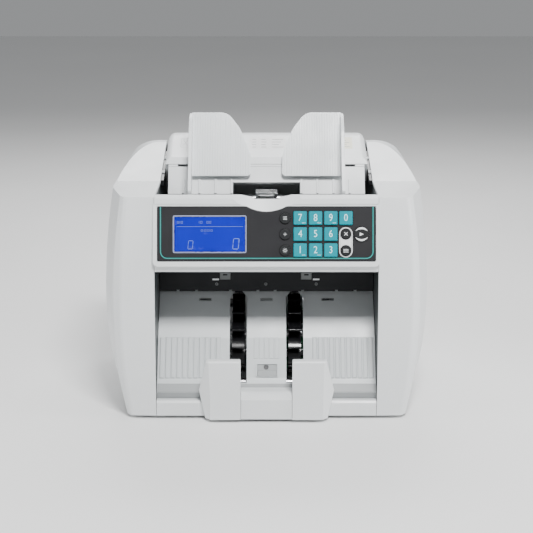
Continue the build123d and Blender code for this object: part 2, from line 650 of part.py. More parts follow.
def pulley(yz, radius, span):
    """Flanged pulley turned on a shaft; the belt runs between its flanges."""
    x0, x1 = span
    wheel = rod_x(yz, radius, x0, x1) + rod_x(yz, radius - 1, x0 - 0.8, x1 + 0.8)
    return wheel + rod_x(yz, radius + 1.2, x0 - 0.8, x0 - 0.1) + rod_x(yz, radius + 1.2, x1 + 0.1, x1 + 0.8)


def rollers(yz, radius, centres, width):
    """Tyres pushed on a shaft."""
    return group([tube_x(yz, radius, SHAFT_R + 0.02, x - width / 2, x + width / 2) for x in centres])


def make_stacker_wheel(x):
    """Wheel of curved blades that catches each note and lays it on the stack."""
    hub = Circle(WHEEL_HUB_R)
    blades = []
    for i in range(WHEEL_BLADES):
        angle = 360 * i / WHEEL_BLADES
        outer = ThreePointArc((WHEEL_HUB_R - 1, 0), (27.0, 5.0), (WHEEL_R * cos(0.5), WHEEL_R * sin(0.5)))
        inner = ThreePointArc(
            ((WHEEL_R - 0.1) * cos(0.5 + 0.04), (WHEEL_R - 0.1) * sin(0.5 + 0.04)),
            (27.0 - 0.4, 5.0 + BLADE_THICK + 0.3),
            (WHEEL_HUB_R - 1, BLADE_THICK + 0.9),
        )
        tip = Line(outer @ 1, inner @ 0)
        root = Line(inner @ 1, outer @ 0)
        blades.append(Rot(0, 0, angle) * make_face(outer + tip + inner + root))
    wheel = extrude(hub, WHEEL_WIDTH)
    for blade in blades:
        wheel += extrude(blade, WHEEL_WIDTH)
    wheel -= Cylinder(SHAFT_R + 0.02, 60)
    plane = Plane(
        origin=(x - WHEEL_WIDTH / 2, *STACKER_YZ), x_dir=(0, 1, 0), z_dir=(1, 0, 0)
    )
    return plane * wheel


def make_drive_motor():
    """Motor can bolted to the right side plate."""
    can = rod_x(MOTOR_YZ, 25, 44, 98) + rod_x(MOTOR_YZ, 9, 38, 44)
    can += rod_x(MOTOR_YZ, 28, 98, FRAME_IN) + rod_x(MOTOR_YZ, 8.8, 98, FRAME_OUT)
    return can - rod_x(MOTOR_YZ, SHAFT_R + BORE_GAP, 60, 110)


# ---------------------------------------------------------------- pocket
def make_transport_guide():
    """Black moulding over the pocket that turns the notes down on to the wheels."""
    outline = [(-85.6, 143.6), (-85.6, 146.0), (-44.4, 146.0), (-44.4, 143.6)]
    ceiling = bar_x(outline, -INNER_HALF, INNER_HALF)
    wall = strip_x([(-42.6, 107.0), (-45.0, 145.0)], 2.4, -INNER_HALF, INNER_HALF)
    guide = ceiling + wall
    cuts = []
    for side in (-1, 1):
        cuts += [block(side * x - 1.4, side * x + 1.4, -60, -38, 100, 108.3) for x in (8.4, 35, 68, 86)]
    return guide - cuts


def wheel_slot(side):
    """Cutter for one wheel slot: even in width, with a narrow neck at the top."""
    x0, x1 = sorted((side * SLOT_IN, side * SLOT_OUT))
    neck = ((x0 + x1 - SLOT_NECK) / 2, (x0 + x1 + SLOT_NECK) / 2)
    points = [(x0, SLOT_LOW_Z), (x1, SLOT_LOW_Z), (x1, SLOT_SHOULDER_Z), (neck[1], SLOT_NECK_Z)]
    points += [(neck[1], 120), (neck[0], 120), (neck[0], SLOT_NECK_Z), (x0, SLOT_SHOULDER_Z)]
    face = make_face(Plane.XZ * Polyline(*points, close=True))
    return Pos(0, -20, 0) * extrude(face, 77, dir=(0, -1, 0))


def make_stacker_plate():
    """Sloping back and floor of the pocket, slotted for the wheels and the sensors."""
    plate = strip_x(list(PLATE_YZ), PLATE_THICK, -FRAME_IN + 0.5, FRAME_IN - 0.5)
    slots = []
    for side in (-1, 1):
        slots.append(wheel_slot(side))
    for x in SENSOR_X:
        slots.append(block(x - 5.5, x + 5.5, -55, -40, 97.0, 98.8))
    return plate - slots


def make_tray_front_block():
    """Centre block of the pocket's front edge."""
    outline = [(-118.6, FOOT_HEIGHT), (-118.6, 22.0), (-116.4, 26.6), (-112.5, BLOCK_TOP_Z)]
    outline += [(-101.3, BLOCK_TOP_Z), (-101.3, FOOT_HEIGHT)]
    solid = bar_x(outline, -BLOCK_HALF + 0.1, BLOCK_HALF - 0.1)
    hollow = block(-BLOCK_HALF + 2.6, BLOCK_HALF - 2.6, -116, -103.5, 0, BLOCK_TOP_Z - 6)
    return solid - hollow


def make_note_stop():
    """Right note stop: a leaning finger that keeps the stack in the pocket."""
    front, top, foot = STOP_FRONT_Y, STOP_TOP_Z, FOOT_HEIGHT
    points = [(STOP_IN, foot), (STOP_IN, top), (56, top), (STOP_OUT, STOP_OUT_Z), (57.5, foot)]
    face = make_face(Plane.XZ * Polyline(*points, close=True))
    stop = Pos(0, STOP_BACK_Y, 0) * extrude(face, STOP_BACK_Y - front, dir=(0, -1, 0))
    lean = [(front - 5, -10), (front, foot), (front + 1.8, top), (front + 1.8, 80), (front - 5, 80)]
    stop -= bar_x(lean, 20, 70)
    bevel = [(53.0, front - 1), (70.0, front - 1), (70.0, -107.0), (66.0, -107.0), (53.0, front + 1)]
    stop -= extrude(make_face(Plane.XY * Polyline(*bevel, close=True)), 80)
    top_edges = stop.edges().filter_by(lambda e: e.center().Z > top - 0.5)
    return fillet(top_edges, 2.2)


# ---------------------------------------------------------------- electrics
def make_main_board():
    board = block(-14, 98, 0, 104, 12, 13.6)
    parts = [block(0, 18, 12, 30, 13, 16), block(30, 52, 60, 76, 13, 20), block(70, 92, 16, 28, 13, 19)]
    parts += [Pos(x, 92, 19) * Cylinder(5, 13) for x in (4, 18, 32)]
    parts += [Pos(x, y, 9) * Cylinder(3, 6.8) for x in (-8, 92) for y in (6, 98)]
    for part in parts:
        board += part
    return board


def make_power_supply():
    cage = block(-98, -24, 16, 92, FOOT_HEIGHT + WALL, 50)
    cage -= block(-96.8, -25.2, 17.2, 90.8, 8, 48.8)
    slots = [block(-110, -10, y, y + 3, 18, 42) for y in range(22, 86, 8)]
    cage -= slots
    board = block(-96.7, -25.3, 17.3, 90.7, 12, 13.6)
    core = block(-74, -44, 34, 62, 13.4, 40)
    feet = [block(x, x + 4, y, y + 4, 7.8, 12.2) for x in (-94, -32) for y in (20, 82)]
    for part in [board, core] + feet:
        cage += part
    return cage


def make_power_inlet():
    """Appliance inlet with three pins, in one housing with the switch well."""
    face = REAR_PANEL_Y + WALL
    x0, x1 = INLET_X - 13.8, SWITCH_X + 7.8
    body = block(x0, x1, face - INLET_DEPTH - 1, face + 0.2, INLET_Z - 11.8, INLET_Z + 11.8)
    body += block(x0 - 2, x1 + 2, face, face + 1.6, INLET_Z - 14, INLET_Z + 14)
    socket = Polyline((-12, -8), (-12, 3.5), (-7.5, 8), (7.5, 8), (12, 3.5), (12, -8), close=True)
    body -= Plane.XZ * Pos(INLET_X, INLET_Z, -(face + 3)) * extrude(make_face(socket), INLET_DEPTH)
    for dx, dz in ((-7, -2), (0, 2), (7, -2)):
        x, z = INLET_X + dx, INLET_Z + dz
        body += block(x - 1, x + 1, face - INLET_DEPTH, face - PIN_SETBACK, z - 2, z + 2)
    body -= block(SWITCH_X - 5.6, SWITCH_X + 5.6, face - 14, face + 3, INLET_Z - 10, INLET_Z + 10)
    reach = PIVOT_HALF + 0.2
    return body - rod_x((SWITCH_PIVOT_Y, INLET_Z), PIVOT_R + BORE_GAP, SWITCH_X - reach, SWITCH_X + reach)


def make_power_switch():
    """Rocker that tips on two stub shafts in its well."""
    face = REAR_PANEL_Y + WALL
    outline = [(face - 8, INLET_Z - 7.5), (face + 1.9, INLET_Z - 9.0), (face - 0.2, INLET_Z)]
    outline += [(face + 0.4, INLET_Z + 9.0), (face - 8, INLET_Z + 7.5)]
    rocker = bar_x(outline, SWITCH_X - 5.2, SWITCH_X + 5.2)
    return rocker + rod_x((SWITCH_PIVOT_Y, INLET_Z), PIVOT_R, SWITCH_X - PIVOT_HALF, SWITCH_X + PIVOT_HALF)


def make_port_block():
    """Sockets for a remote display and a printer."""
    face = REAR_PANEL_Y + WALL
    body = block(PORTS_X - 21.8, PORTS_X + 21.8, face - 16, face + 0.3, PORTS_Z - 7.8, PORTS_Z + 7.8)
    remote = block(PORTS_X + 5.8, PORTS_X + 18.2, face - 12, face + 3, PORTS_Z - 4.6, PORTS_Z + 4.6)
    printer = block(PORTS_X - 18, PORTS_X, face - 9, face + 3, PORTS_Z - 4.2, PORTS_Z + 4.2)
    return body - remote - printer


def make_note_sensors():
    """Detector bar across the note path, and its mate on the other side of the gap."""
    bar = block(-96, 96, 8, 22, 160, 168)
    bar -= [block(x - 9, x + 9, 10, 20, 158, 161.5) for x in (-60, 0, 60)]
    return group([bar])


# ---------------------------------------------------------------- assembly
def shaft(yz, x0, x1):
    return rod_x(yz, SHAFT_R, x0, x1)


def all_parts():
    cover = make_side_cover()
    stop = make_note_stop()
    frame = make_side_frame()
    parts = {
        "right_side_cover": cover,
        "left_side_cover": mirrored(cover),
        "base_pan": make_base_pan(),
        "rear_panel": make_rear_panel(),
        "rubber_feet": make_rubber_feet(),
        "housing_screws": make_housing_screws(),
        "display_bezel": make_display_bezel(),
        "keypad_overlay": make_keypad_overlay(),
        "display_window": make_display_window(),
        "display_module": make_display_module(),
        "control_board": make_control_board(),
        "hopper_floor": make_hopper_floor(),
        "separator_block": make_separator_block(),
        "hopper_back_plate": make_hopper_back_plate(),
        "hopper_guide_right": make_hopper_guide(True),
        "hopper_guide_left": make_hopper_guide(False),
        "guide_pinion": make_guide_pinion(),
        "rear_cover": make_rear_cover(),
        "side_frames": group([frame, mirrored(frame)]),
        "tie_bars": make_tie_bars(),
        "transport_guide": make_transport_guide(),
        "stacker_plate": make_stacker_plate(),
        "tray_front_block": make_tray_front_block(),
        "note_stops": group([stop, mirrored(stop)]),
        "main_board": make_main_board(),
        "power_supply": make_power_supply(),
        "power_inlet": make_power_inlet(),
        "power_switch": make_power_switch(),
        "port_block": make_port_block(),
        "note_sensors": make_note_sensors(),
        "drive_motor": make_drive_motor(),
    }
    for name, x, v, radius in key_places():
        parts[name] = make_key(x, v, radius)
    return parts | drive_parts()


def drive_parts():
    line = GEAR_LINE * 180 / pi
    right_end = FEED_DRIVE_X[1] + 0.5
    stop_x = FRAME_OUT + 1.5
    return {
        "stacker_shaft": shaft(STACKER_YZ, GEAR_X[0] - 1, stop_x),
        "stacker_wheels": group([make_stacker_wheel(-WHEEL_X), make_stacker_wheel(WHEEL_X)]),
        "stacker_gear": spur_gear(STACKER_YZ, STACKER_TEETH, line, *GEAR_X),
        "drum_shaft": shaft(DRUM_YZ, GEAR_X[0] - 1, right_end)
        + pulley(DRUM_YZ, DRUM_PULLEY_R, DRIVE_X)
        + pulley(DRUM_YZ, FEED_DRIVE_R, FEED_DRIVE_X),
        "drum_rollers": rollers(DRUM_YZ, DRUM_R, (-70, -27, 27, 70), 18),
        "drum_gear": spur_gear(DRUM_YZ, DRUM_TEETH, line + 180 + 180 / DRUM_TEETH, *GEAR_X),
        "feed_shaft": shaft(FEED_YZ, -stop_x, right_end) + pulley(FEED_YZ, FEED_PULLEY_R, FEED_DRIVE_X),
        "feed_rollers": rollers(FEED_YZ, FEED_R, (-20, 20), 18),
        "kicker_shaft": shaft(KICKER_YZ, -stop_x, right_end)
        + pulley(KICKER_YZ, FEED_PULLEY_R, FEED_DRIVE_X),
        "kicker_rollers": rollers(KICKER_YZ, KICKER_R, (-46, 46), 16),
        "motor_pulley": shaft(MOTOR_YZ, 62, DRIVE_X[1] + 1) + pulley(MOTOR_YZ, MOTOR_PULLEY_R, DRIVE_X),
        "drive_belt": belt_loop(
            [(MOTOR_YZ, MOTOR_PULLEY_R), (DRUM_YZ, DRUM_PULLEY_R)],
            DRIVE_X[0] + 0.4,
            DRIVE_X[1] - 0.4,
        ),
        "feed_belt": belt_loop(
            [(DRUM_YZ, FEED_DRIVE_R), (FEED_YZ, FEED_PULLEY_R), (KICKER_YZ, FEED_PULLEY_R)],
            FEED_DRIVE_X[0] + 0.4,
            FEED_DRIVE_X[1] - 0.4,
        ),
    }


def main():
    os.makedirs("parts", exist_ok=True)
    for name, shape in all_parts().items():
        export_step(shape, f"parts/{name}.step")


main()
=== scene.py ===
import json
import math

import bmesh
import bpy
from mathutils import Matrix, Vector


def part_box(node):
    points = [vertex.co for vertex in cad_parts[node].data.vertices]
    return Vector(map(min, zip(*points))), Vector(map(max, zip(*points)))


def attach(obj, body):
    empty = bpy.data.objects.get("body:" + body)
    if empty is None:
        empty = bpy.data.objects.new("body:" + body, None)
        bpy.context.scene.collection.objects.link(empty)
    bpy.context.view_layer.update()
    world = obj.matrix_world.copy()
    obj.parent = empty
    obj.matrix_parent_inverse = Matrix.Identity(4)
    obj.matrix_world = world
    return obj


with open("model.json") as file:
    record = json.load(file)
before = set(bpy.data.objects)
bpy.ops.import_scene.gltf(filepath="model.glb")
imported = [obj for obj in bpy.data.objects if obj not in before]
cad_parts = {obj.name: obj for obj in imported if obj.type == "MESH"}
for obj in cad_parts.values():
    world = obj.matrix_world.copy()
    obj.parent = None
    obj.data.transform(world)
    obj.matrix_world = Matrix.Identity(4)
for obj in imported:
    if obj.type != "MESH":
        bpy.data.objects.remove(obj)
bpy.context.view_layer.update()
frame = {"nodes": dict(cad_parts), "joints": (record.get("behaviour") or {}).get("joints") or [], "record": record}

NODES = frame["nodes"]
JOINTS = {joint["name"]: joint for joint in frame["joints"]}
SLOTS = {part["node"]: part["material_slot"] for part in frame["record"]["subparts"]}
MM = 0.001


# ---------------------------------------------------------------- planes the parts lie in
class Plane:
    """Flat working frame through the origin: x across, v up the surface, n out of it."""

    def __init__(self, normal, up=None):
        self.n = Vector(normal).normalized()
        side = Vector((0, 0, 1)).cross(self.n) if up is None else Vector(up).cross(self.n)
        self.x = side.normalized()
        self.v = self.n.cross(self.x)

    def point(self, x, v, n):
        return self.x * x + self.v * v + self.n * n

    def spans(self, node):
        """Lowest and highest x, v and n of a CAD node's own vertices in this plane."""
        corners = [vertex.co for vertex in NODES[node].data.vertices]
        spans = []
        for axis in (self.x, self.v, self.n):
            reach = [corner.dot(axis) for corner in corners]
            spans.append((min(reach), max(reach)))
        return spans


PANEL = Plane([-a for a in JOINTS["key_5_press"]["axis"]])
HOPPER = Plane(JOINTS["guide_gear_spin"]["axis"])
FRONT = Plane((0, -1, 0))
BACK = Plane((0, 1, 0))
TOP = Plane((0, 0, 1), up=(0, 1, 0))


# ---------------------------------------------------------------- materials
def nodes_of(name):
    material = bpy.data.materials.new(name)
    material.use_nodes = True
    tree = material.node_tree
    return material, tree, tree.nodes["Principled BSDF"]


def add(tree, kind, **settings):
    node = tree.nodes.new(kind)
    for key, value in settings.items():
        if key in node.inputs:
            node.inputs[key].default_value = value
        else:
            setattr(node, key, value)
    return node


def grain(tree, size, detail=3.0):
    """Noise with cells about size metres across, fixed to the object."""
    where = add(tree, "ShaderNodeTexCoord")
    noise = add(tree, "ShaderNodeTexNoise", Scale=1.0 / size, Detail=detail)
    tree.links.new(where.outputs["Object"], noise.inputs["Vector"])
    return noise.outputs["Fac"]


def vary_colour(tree, shader, colour, spread, size):
    """Colour that drifts slightly over patches of the given size."""
    ramp = add(tree, "ShaderNodeValToRGB")
    ramp.color_ramp.elements[0].position = 0.3
    ramp.color_ramp.elements[1].position = 0.7
    ramp.color_ramp.elements[0].color = [c * (1 - spread) for c in colour] + [1]
    ramp.color_ramp.elements[1].color = [min(c * (1 + spread), 1) for c in colour] + [1]
    tree.links.new(grain(tree, size), ramp.inputs["Fac"])
    tree.links.new(ramp.outputs["Color"], shader.inputs["Base Color"])


def vary_roughness(tree, shader, low, high, size):
    spread = add(tree, "ShaderNodeMapRange")
    spread.inputs["From Min"].default_value = 0.3
    spread.inputs["From Max"].default_value = 0.7
    spread.inputs["To Min"].default_value = low
    spread.inputs["To Max"].default_value = high
    tree.links.new(grain(tree, size), spread.inputs["Value"])
    tree.links.new(spread.outputs["Result"], shader.inputs["Roughness"])


def soften(tree, shader, height=None, strength=0.1, distance=0.0001, radius=0.0004):
    """Rounds hard edges in the shading and adds a fine surface relief over them."""
    edge = add(tree, "ShaderNodeBevel", samples=4)
    edge.inputs["Radius"].default_value = radius
    if height is None:
        tree.links.new(edge.outputs["Normal"], shader.inputs["Normal"])
        return
    bump = add(tree, "ShaderNodeBump", Strength=strength, Distance=distance)
    tree.links.new(height, bump.inputs["Height"])
    tree.links.new(edge.outputs["Normal"], bump.inputs["Normal"])
    tree.links.new(bump.outputs["Normal"], shader.inputs["Normal"])


def moulded(name, colour, rough=0.42, texture=0.0007, relief=0.12, spread=0.015, radius=0.0005, shine=0.5):
    """Moulded plastic with the fine spark texture of the tool."""
    material, tree, shader = nodes_of(name)
    vary_colour(tree, shader, colour, spread, 0.05)
    vary_roughness(tree, shader, rough - 0.05, rough + 0.06, 0.02)
    soften(tree, shader, grain(tree, texture, 4.0), relief, 0.00012, radius)
    shader.inputs["IOR"].default_value = 1.5
    shader.inputs["Specular IOR Level"].default_value = shine
    return material


def metal(name, colour, rough, stretch=(1, 40, 40), size=0.004):
    """Rolled or ground metal with fine lines along one axis."""
    material, tree, shader = nodes_of(name)
    where = add(tree, "ShaderNodeTexCoord")
    scale = add(tree, "ShaderNodeMapping")
    scale.inputs["Scale"].default_value = stretch
    noise = add(tree, "ShaderNodeTexNoise", Scale=1.0 / size, Detail=5.0)
    tree.links.new(where.outputs["Object"], scale.inputs["Vector"])
    tree.links.new(scale.outputs["Vector"], noise.inputs["Vector"])
    vary_colour(tree, shader, colour, 0.06, 0.01)
    vary_roughness(tree, shader, rough - 0.06, rough + 0.08, 0.006)
    soften(tree, shader, noise.outputs["Fac"], 0.08, 0.00005, 0.0003)
    shader.inputs["Metallic"].default_value = 1.0
    return material


def printed(name, colour, rough=0.3, glow=0.0):
    """Screen-printed ink: slightly uneven, with no relief of its own."""
    material, tree, shader = nodes_of(name)
    vary_colour(tree, shader, colour, 0.04, 0.003)
    vary_roughness(tree, shader, rough - 0.04, rough + 0.05, 0.002)
    if glow > 0:
        shader.inputs["Emission Color"].default_value = (*colour, 1)
        shader.inputs["Emission Strength"].default_value = glow
    return material


def make_screen_blue():
    """Backlit panel with the fine grid of its dots."""
    material, tree, shader = nodes_of("screen_blue")
    where = add(tree, "ShaderNodeTexCoord")
    dots = add(tree, "ShaderNodeTexBrick", Scale=1.0)
    dots.inputs["Brick Width"].default_value = 0.0006
    dots.inputs["Row Height"].default_value = 0.0006
    dots.inputs["Mortar Size"].default_value = 0.00004
    dots.inputs["Color1"].default_value = (0.002, 0.012, 0.52, 1)
    dots.inputs["Color2"].default_value = (0.0015, 0.010, 0.47, 1)
    dots.inputs["Mortar"].default_value = (0.001, 0.007, 0.38, 1)
    dots.offset = 0.0
    swap = add(tree, "ShaderNodeSeparateXYZ")
    flat = add(tree, "ShaderNodeCombineXYZ")
    tree.links.new(where.outputs["Object"], swap.inputs["Vector"])
    tree.links.new(swap.outputs["X"], flat.inputs["X"])
    tree.links.new(swap.outputs["Z"], flat.inputs["Y"])
    tree.links.new(flat.outputs["Vector"], dots.inputs["Vector"])
    tree.links.new(dots.outputs["Color"], shader.inputs["Base Color"])
    tree.links.new(dots.outputs["Color"], shader.inputs["Emission Color"])
    shader.inputs["Emission Strength"].default_value = 0.35
    vary_roughness(tree, shader, 0.2, 0.28, 0.01)
    return material


def make_glass():
    material, tree, shader = nodes_of("screen_clear")
    shader.inputs["Base Color"].default_value = (0.96, 0.98, 1.0, 1)
    shader.inputs["Transmission Weight"].default_value = 1.0
    shader.inputs["IOR"].default_value = 1.1
    vary_roughness(tree, shader, 0.02, 0.05, 0.01)
    return material


def make_board():
    """Circuit board: solder mask with copper tracks under it."""
    material, tree, shader = nodes_of("board_green")
    tracks = add(tree, "ShaderNodeTexBrick", Scale=220.0)
    tracks.inputs["Color1"].default_value = (0.02, 0.20, 0.08, 1)
    tracks.inputs["Color2"].default_value = (0.03, 0.26, 0.11, 1)
    tracks.inputs["Mortar"].default_value = (0.05, 0.34, 0.15, 1)
    where = add(tree, "ShaderNodeTexCoord")
    tree.links.new(where.outputs["Object"], tracks.inputs["Vector"])
    tree.links.new(tracks.outputs["Color"], shader.inputs["Base Color"])
    vary_roughness(tree, shader, 0.3, 0.45, 0.004)
    return material


MATERIALS = {
    "housing_white": moulded("housing_white", (0.715, 0.735, 0.742), rough=0.36),
    "guide_white": moulded("guide_white", (0.70, 0.73, 0.74), rough=0.34, relief=0.06),
    "pocket_grey": moulded("pocket_grey", (0.56, 0.59, 0.60), rough=0.34, relief=0.08),
    "overlay_grey": moulded("overlay_grey", (0.020, 0.020, 0.022), rough=0.45, texture=0.0003,
                            relief=0.08, shine=0.25),
    "key_teal": moulded("key_teal", (0.0, 0.24, 0.295), rough=0.42, relief=0.05, radius=0.0003, shine=0.15),
    "key_dark": moulded("key_dark", (0.016, 0.017, 0.018), rough=0.42, relief=0.05, radius=0.0002,
                        shine=0.25),
    "screen_clear": make_glass(),
    "screen_blue": make_screen_blue(),
    "board_green": make_board(),
    "black_moulding": moulded("black_moulding", (0.005, 0.006, 0.008), rough=0.5, relief=0.2, shine=0.2),
    "frame_dark": moulded("frame_dark", (0.06, 0.068, 0.07), rough=0.5, texture=0.0009, relief=0.25,
                          shine=0.3),
    "steel": metal("steel", (0.62, 0.62, 0.63), 0.25),
    "zinc_plate": metal("zinc_plate", (0.60, 0.61, 0.62), 0.28, size=0.002),
    "roller_rubber": moulded("roller_rubber", (0.022, 0.022, 0.023), rough=0.7, texture=0.0009, relief=0.5),
    "foot_rubber": moulded("foot_rubber", (0.03, 0.03, 0.031), rough=0.75, texture=0.0008, relief=0.4),
    "wheel_black": moulded("wheel_black", (0.006, 0.006, 0.007), rough=0.14, relief=0.03, radius=0.0003),
    "gear_nylon": moulded("gear_nylon", (0.70, 0.68, 0.60), rough=0.45),
    "belt_rubber": moulded("belt_rubber", (0.02, 0.02, 0.02), rough=0.7, relief=0.4),
    "rocker_black": moulded("rocker_black", (0.018, 0.018, 0.019), rough=0.28, relief=0.05),
    "ink_teal": printed("ink_teal", (0.02, 0.27, 0.25)),
    "ink_white": printed("ink_white", (0.80, 0.82, 0.83)),
    "ink_grey": printed("ink_grey", (0.26, 0.27, 0.28), rough=0.5),
    "lcd_light": printed("lcd_light", (0.30, 0.46, 0.80), glow=0.18),
    "label_paper": printed("label_paper", (0.74, 0.745, 0.74), rough=0.45),
    "label_cream": printed("label_cream", (0.72, 0.70, 0.58), rough=0.45),
    "brass_pin": metal("brass_pin", (0.75, 0.62, 0.34), 0.3),
    "ink_cyan": printed("ink_cyan", (0.60, 0.90, 0.95)),
    "ink_screen": printed("ink_screen", (0.36, 0.39, 0.56)),
    "ink_faint": printed("ink_faint", (0.028, 0.03, 0.03)),
    "ink_light_grey": printed("ink_light_grey", (0.50, 0.515, 0.52), rough=0.5),
    "lcd_dim": printed("lcd_dim", (0.16, 0.25, 0.62), glow=0.15),
    "label_silver": printed("label_silver", (0.55, 0.56, 0.57), rough=0.35),
    # pocket_shade is painted shade: a darker grey for the pocket floor, the bracket's recess and the slit rims,
    # which lie in shade.
    "pocket_shade": moulded("pocket_shade", (0.30, 0.315, 0.32), rough=0.42, relief=0.1),
    "fitting_grey": moulded("fitting_grey", (0.11, 0.12, 0.12), rough=0.42, relief=0.1),
    "screw_black": metal("screw_black", (0.07, 0.07, 0.072), 0.35),
    # Very dark: the seal strips beside the lid, darkened as painted shade of their gaps, and the painted shadow
    # line under the display panel.
    "seal_and_painted_shade": moulded("seal_and_painted_shade", (0.012, 0.013, 0.014), rough=0.3, relief=0.05),
}


# ---------------------------------------------------------------- mesh helpers
def piece(name, mesh_data, body, material, smooth=None):
    """New object from a bmesh, riding on a body, with a material."""
    mesh = bpy.data.meshes.new(name)
    bmesh.ops.recalc_face_normals(mesh_data, faces=mesh_data.faces)
    mesh_data.to_mesh(mesh)
    mesh_data.free()
    made = bpy.data.objects.new(name, mesh)
    bpy.context.scene.collection.objects.link(made)
    mesh.materials.append(MATERIALS[material])
    if smooth:
        mesh.shade_smooth()
        mesh.set_sharp_from_angle(angle=math.radians(smooth))
    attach(made, body)
    return made


def prism(target, plane, outline, n0, n1, chamfer=0.0):
    """Adds a straight block with the given (x, v) outline; its outer edge can be chamfered."""
    rings = [(outline, n0)]
    if chamfer > 0:
        rings += [(outline, n1 - chamfer), (shrink(outline, chamfer), n1)]
    else:
        rings += [(outline, n1)]
    loops = [[target.verts.new(plane.point(x, v, n)) for x, v in ring] for ring, n in rings]
    count = len(outline)
    for low, high in zip(loops, loops[1:]):
        for i in range(count):
            j = (i + 1) % count
            target.faces.new((low[i], low[j], high[j], high[i]))
    target.faces.new(loops[0][::-1])
    target.faces.new(loops[-1])


def shrink(outline, distance):
    """Closed outline moved inwards by distance; the outline runs anticlockwise."""
    moved = []
    count = len(outline)
    for i in range(count):
        before, here, after = (Vector(outline[k % count]) for k in (i - 1, i, i + 1))
        first = (here - before).normalized()
        second = (after - here).normalized()
        inward = Vector((-first.y - second.y, first.x + second.x))
        scale = distance * 2 / max(inward.length_squared, 0.4)
        moved.append(tuple(here + inward * scale))
    return moved


def rounded(x0, x1, v0, v1, radius, steps=6):
    """Anticlockwise rectangle with round corners."""
    corners = ((x1 - radius, v1 - radius, 0), (x0 + radius, v1 - radius, 90),
               (x0 + radius, v0 + radius, 180), (x1 - radius, v0 + radius, 270))
    points = []
    for cx, cv, start in corners:
        for i in range(steps + 1):
            turn = math.radians(start + 90 * i / steps)
            points.append((cx + radius * math.cos(turn), cv + radius * math.sin(turn)))
    return points


def disc(x, v, radius, steps=48, start=0.0, sweep=360.0):
    """Points round a circle, or part of one."""
    count = steps if sweep == 360.0 else steps + 1
    turns = [math.radians(start + sweep * i / steps) for i in range(count)]
    return [(x + radius * math.cos(t), v + radius * math.sin(t)) for t in turns]


def ring_band(target, plane, outer, inner, n0, n1):
    """Flat band between two outlines with the same number of points."""
    count = len(outer)
    levels = []
    for n in (n0, n1):
        levels.append([[target.verts.new(plane.point(x, v, n)) for x, v in line] for line in (outer, inner)])
    (lo_out, lo_in), (hi_out, hi_in) = levels
    for i in range(count):
        j = (i + 1) % count
        target.faces.new((lo_out[i], lo_out[j], hi_out[j], hi_out[i]))
        target.faces.new((hi_in[i], hi_in[j], lo_in[j], lo_in[i]))
        target.faces.new((hi_out[i], hi_out[j], hi_in[j], hi_in[i]))
        target.faces.new((lo_in[i], lo_in[j], lo_out[j], lo_out[i]))


def ribbon(target, plane, path, width, n0, n1):
    """Thin stripe of even width along an open (x, v) path."""
    left, right = [], []
    for i, here in enumerate(path):
        before, after = Vector(path[max(i - 1, 0)]), Vector(path[min(i + 1, len(path) - 1)])
        along = (after - before).normalized()
        side = Vector((-along.y, along.x)) * width / 2
        left.append(tuple(Vector(here) + side))
        right.append(tuple(Vector(here) - side))
    prism(target, plane, right + left[::-1], n0, n1)


def add_text(target, plane, text, x, v, height, n0, n1, narrow=1.0):
    """Adds the built-in font's outlines of a digit or sign, centred on (x, v)."""
    curve = bpy.data.curves.new("sign", "FONT")
    curve.body = text
    curve.resolution_u = 6
    holder = bpy.data.objects.new("sign", curve)
    bpy.context.scene.collection.objects.link(holder)
    bpy.context.view_layer.update()
    mesh = bpy.data.meshes.new_from_object(holder)
    xs = [p.co.x for p in mesh.vertices]
    ys = [p.co.y for p in mesh.vertices]
    scale = height / (max(ys) - min(ys))
    middle = Vector(((max(xs) + min(xs)) / 2, (max(ys) + min(ys)) / 2))
    sheet = bmesh.new()
    sheet.from_mesh(mesh)
    for vertex in sheet.verts:
        flat = (vertex.co.xy - middle) * scale
        vertex.co = plane.point(x + flat.x * narrow, v + flat.y, n0)
    extruded = bmesh.ops.extrude_face_region(sheet, geom=sheet.faces[:])
    lift = plane.n * (n1 - n0)
    raised = [g for g in extruded["geom"] if isinstance(g, bmesh.types.BMVert)]
    bmesh.ops.translate(sheet, vec=lift, verts=raised)
    finished = bpy.data.meshes.new("sign")
    sheet.to_mesh(finished)
    sheet.free()
    target.from_mesh(finished)
    bpy.data.objects.remove(holder)
    bpy.data.curves.remove(curve)
    bpy.data.meshes.remove(mesh)
    bpy.data.meshes.remove(finished)


# ---------------------------------------------------------------- finding surfaces on the CAD
def facing(node, towards, close=0.985):
    """Plane of a CAD node's widest flat area that looks along towards, and its n."""
    mesh = NODES[node].data
    aim = Vector(towards).normalized()
    areas = {}
    for polygon in mesh.polygons:
        if polygon.normal.dot(aim) > close:
            key = tuple(round(a, 2) for a in polygon.normal)
            areas[key] = areas.get(key, 0.0) + polygon.area
    best = max(areas, key=areas.get)
    flat = [p for p in mesh.polygons if tuple(round(a, 2) for a in p.normal) == best]
    widest = max(flat, key=lambda p: p.area)
    return Plane(widest.normal), widest.center.dot(widest.normal)


def surface(node, plane, x, v):
    """n of the first point of a CAD node met when looking in along the plane's normal."""
    start = plane.point(x, v, 1.0)
    hit, place, _, _ = NODES[node].ray_cast(start, -plane.n)
    return place.dot(plane.n) if hit else None


def middle(span):
    return (span[0] + span[1]) / 2


# ---------------------------------------------------------------- materials on the CAD parts
for node, part in NODES.items():
    part.data.materials.clear()
    part.data.materials.append(MATERIALS[SLOTS[node]])


def repaint(node, material, chosen):
    """Gives the faces of a CAD node for which chosen(face centre) is true another material."""
    mesh = NODES[node].data
    mesh.materials.append(MATERIALS[material])
    for polygon in mesh.polygons:
        if chosen(polygon.center):
            polygon.material_index = len(mesh.materials) - 1


WINDOW_BACK = PANEL.spans("display_window")[2][0]
repaint("display_module", "zinc_plate", lambda c: c.dot(PANEL.n) < WINDOW_BACK - 1.1 * MM)
repaint("display_module", "board_green", lambda c: c.dot(PANEL.n) < WINDOW_BACK - 5.8 * MM)


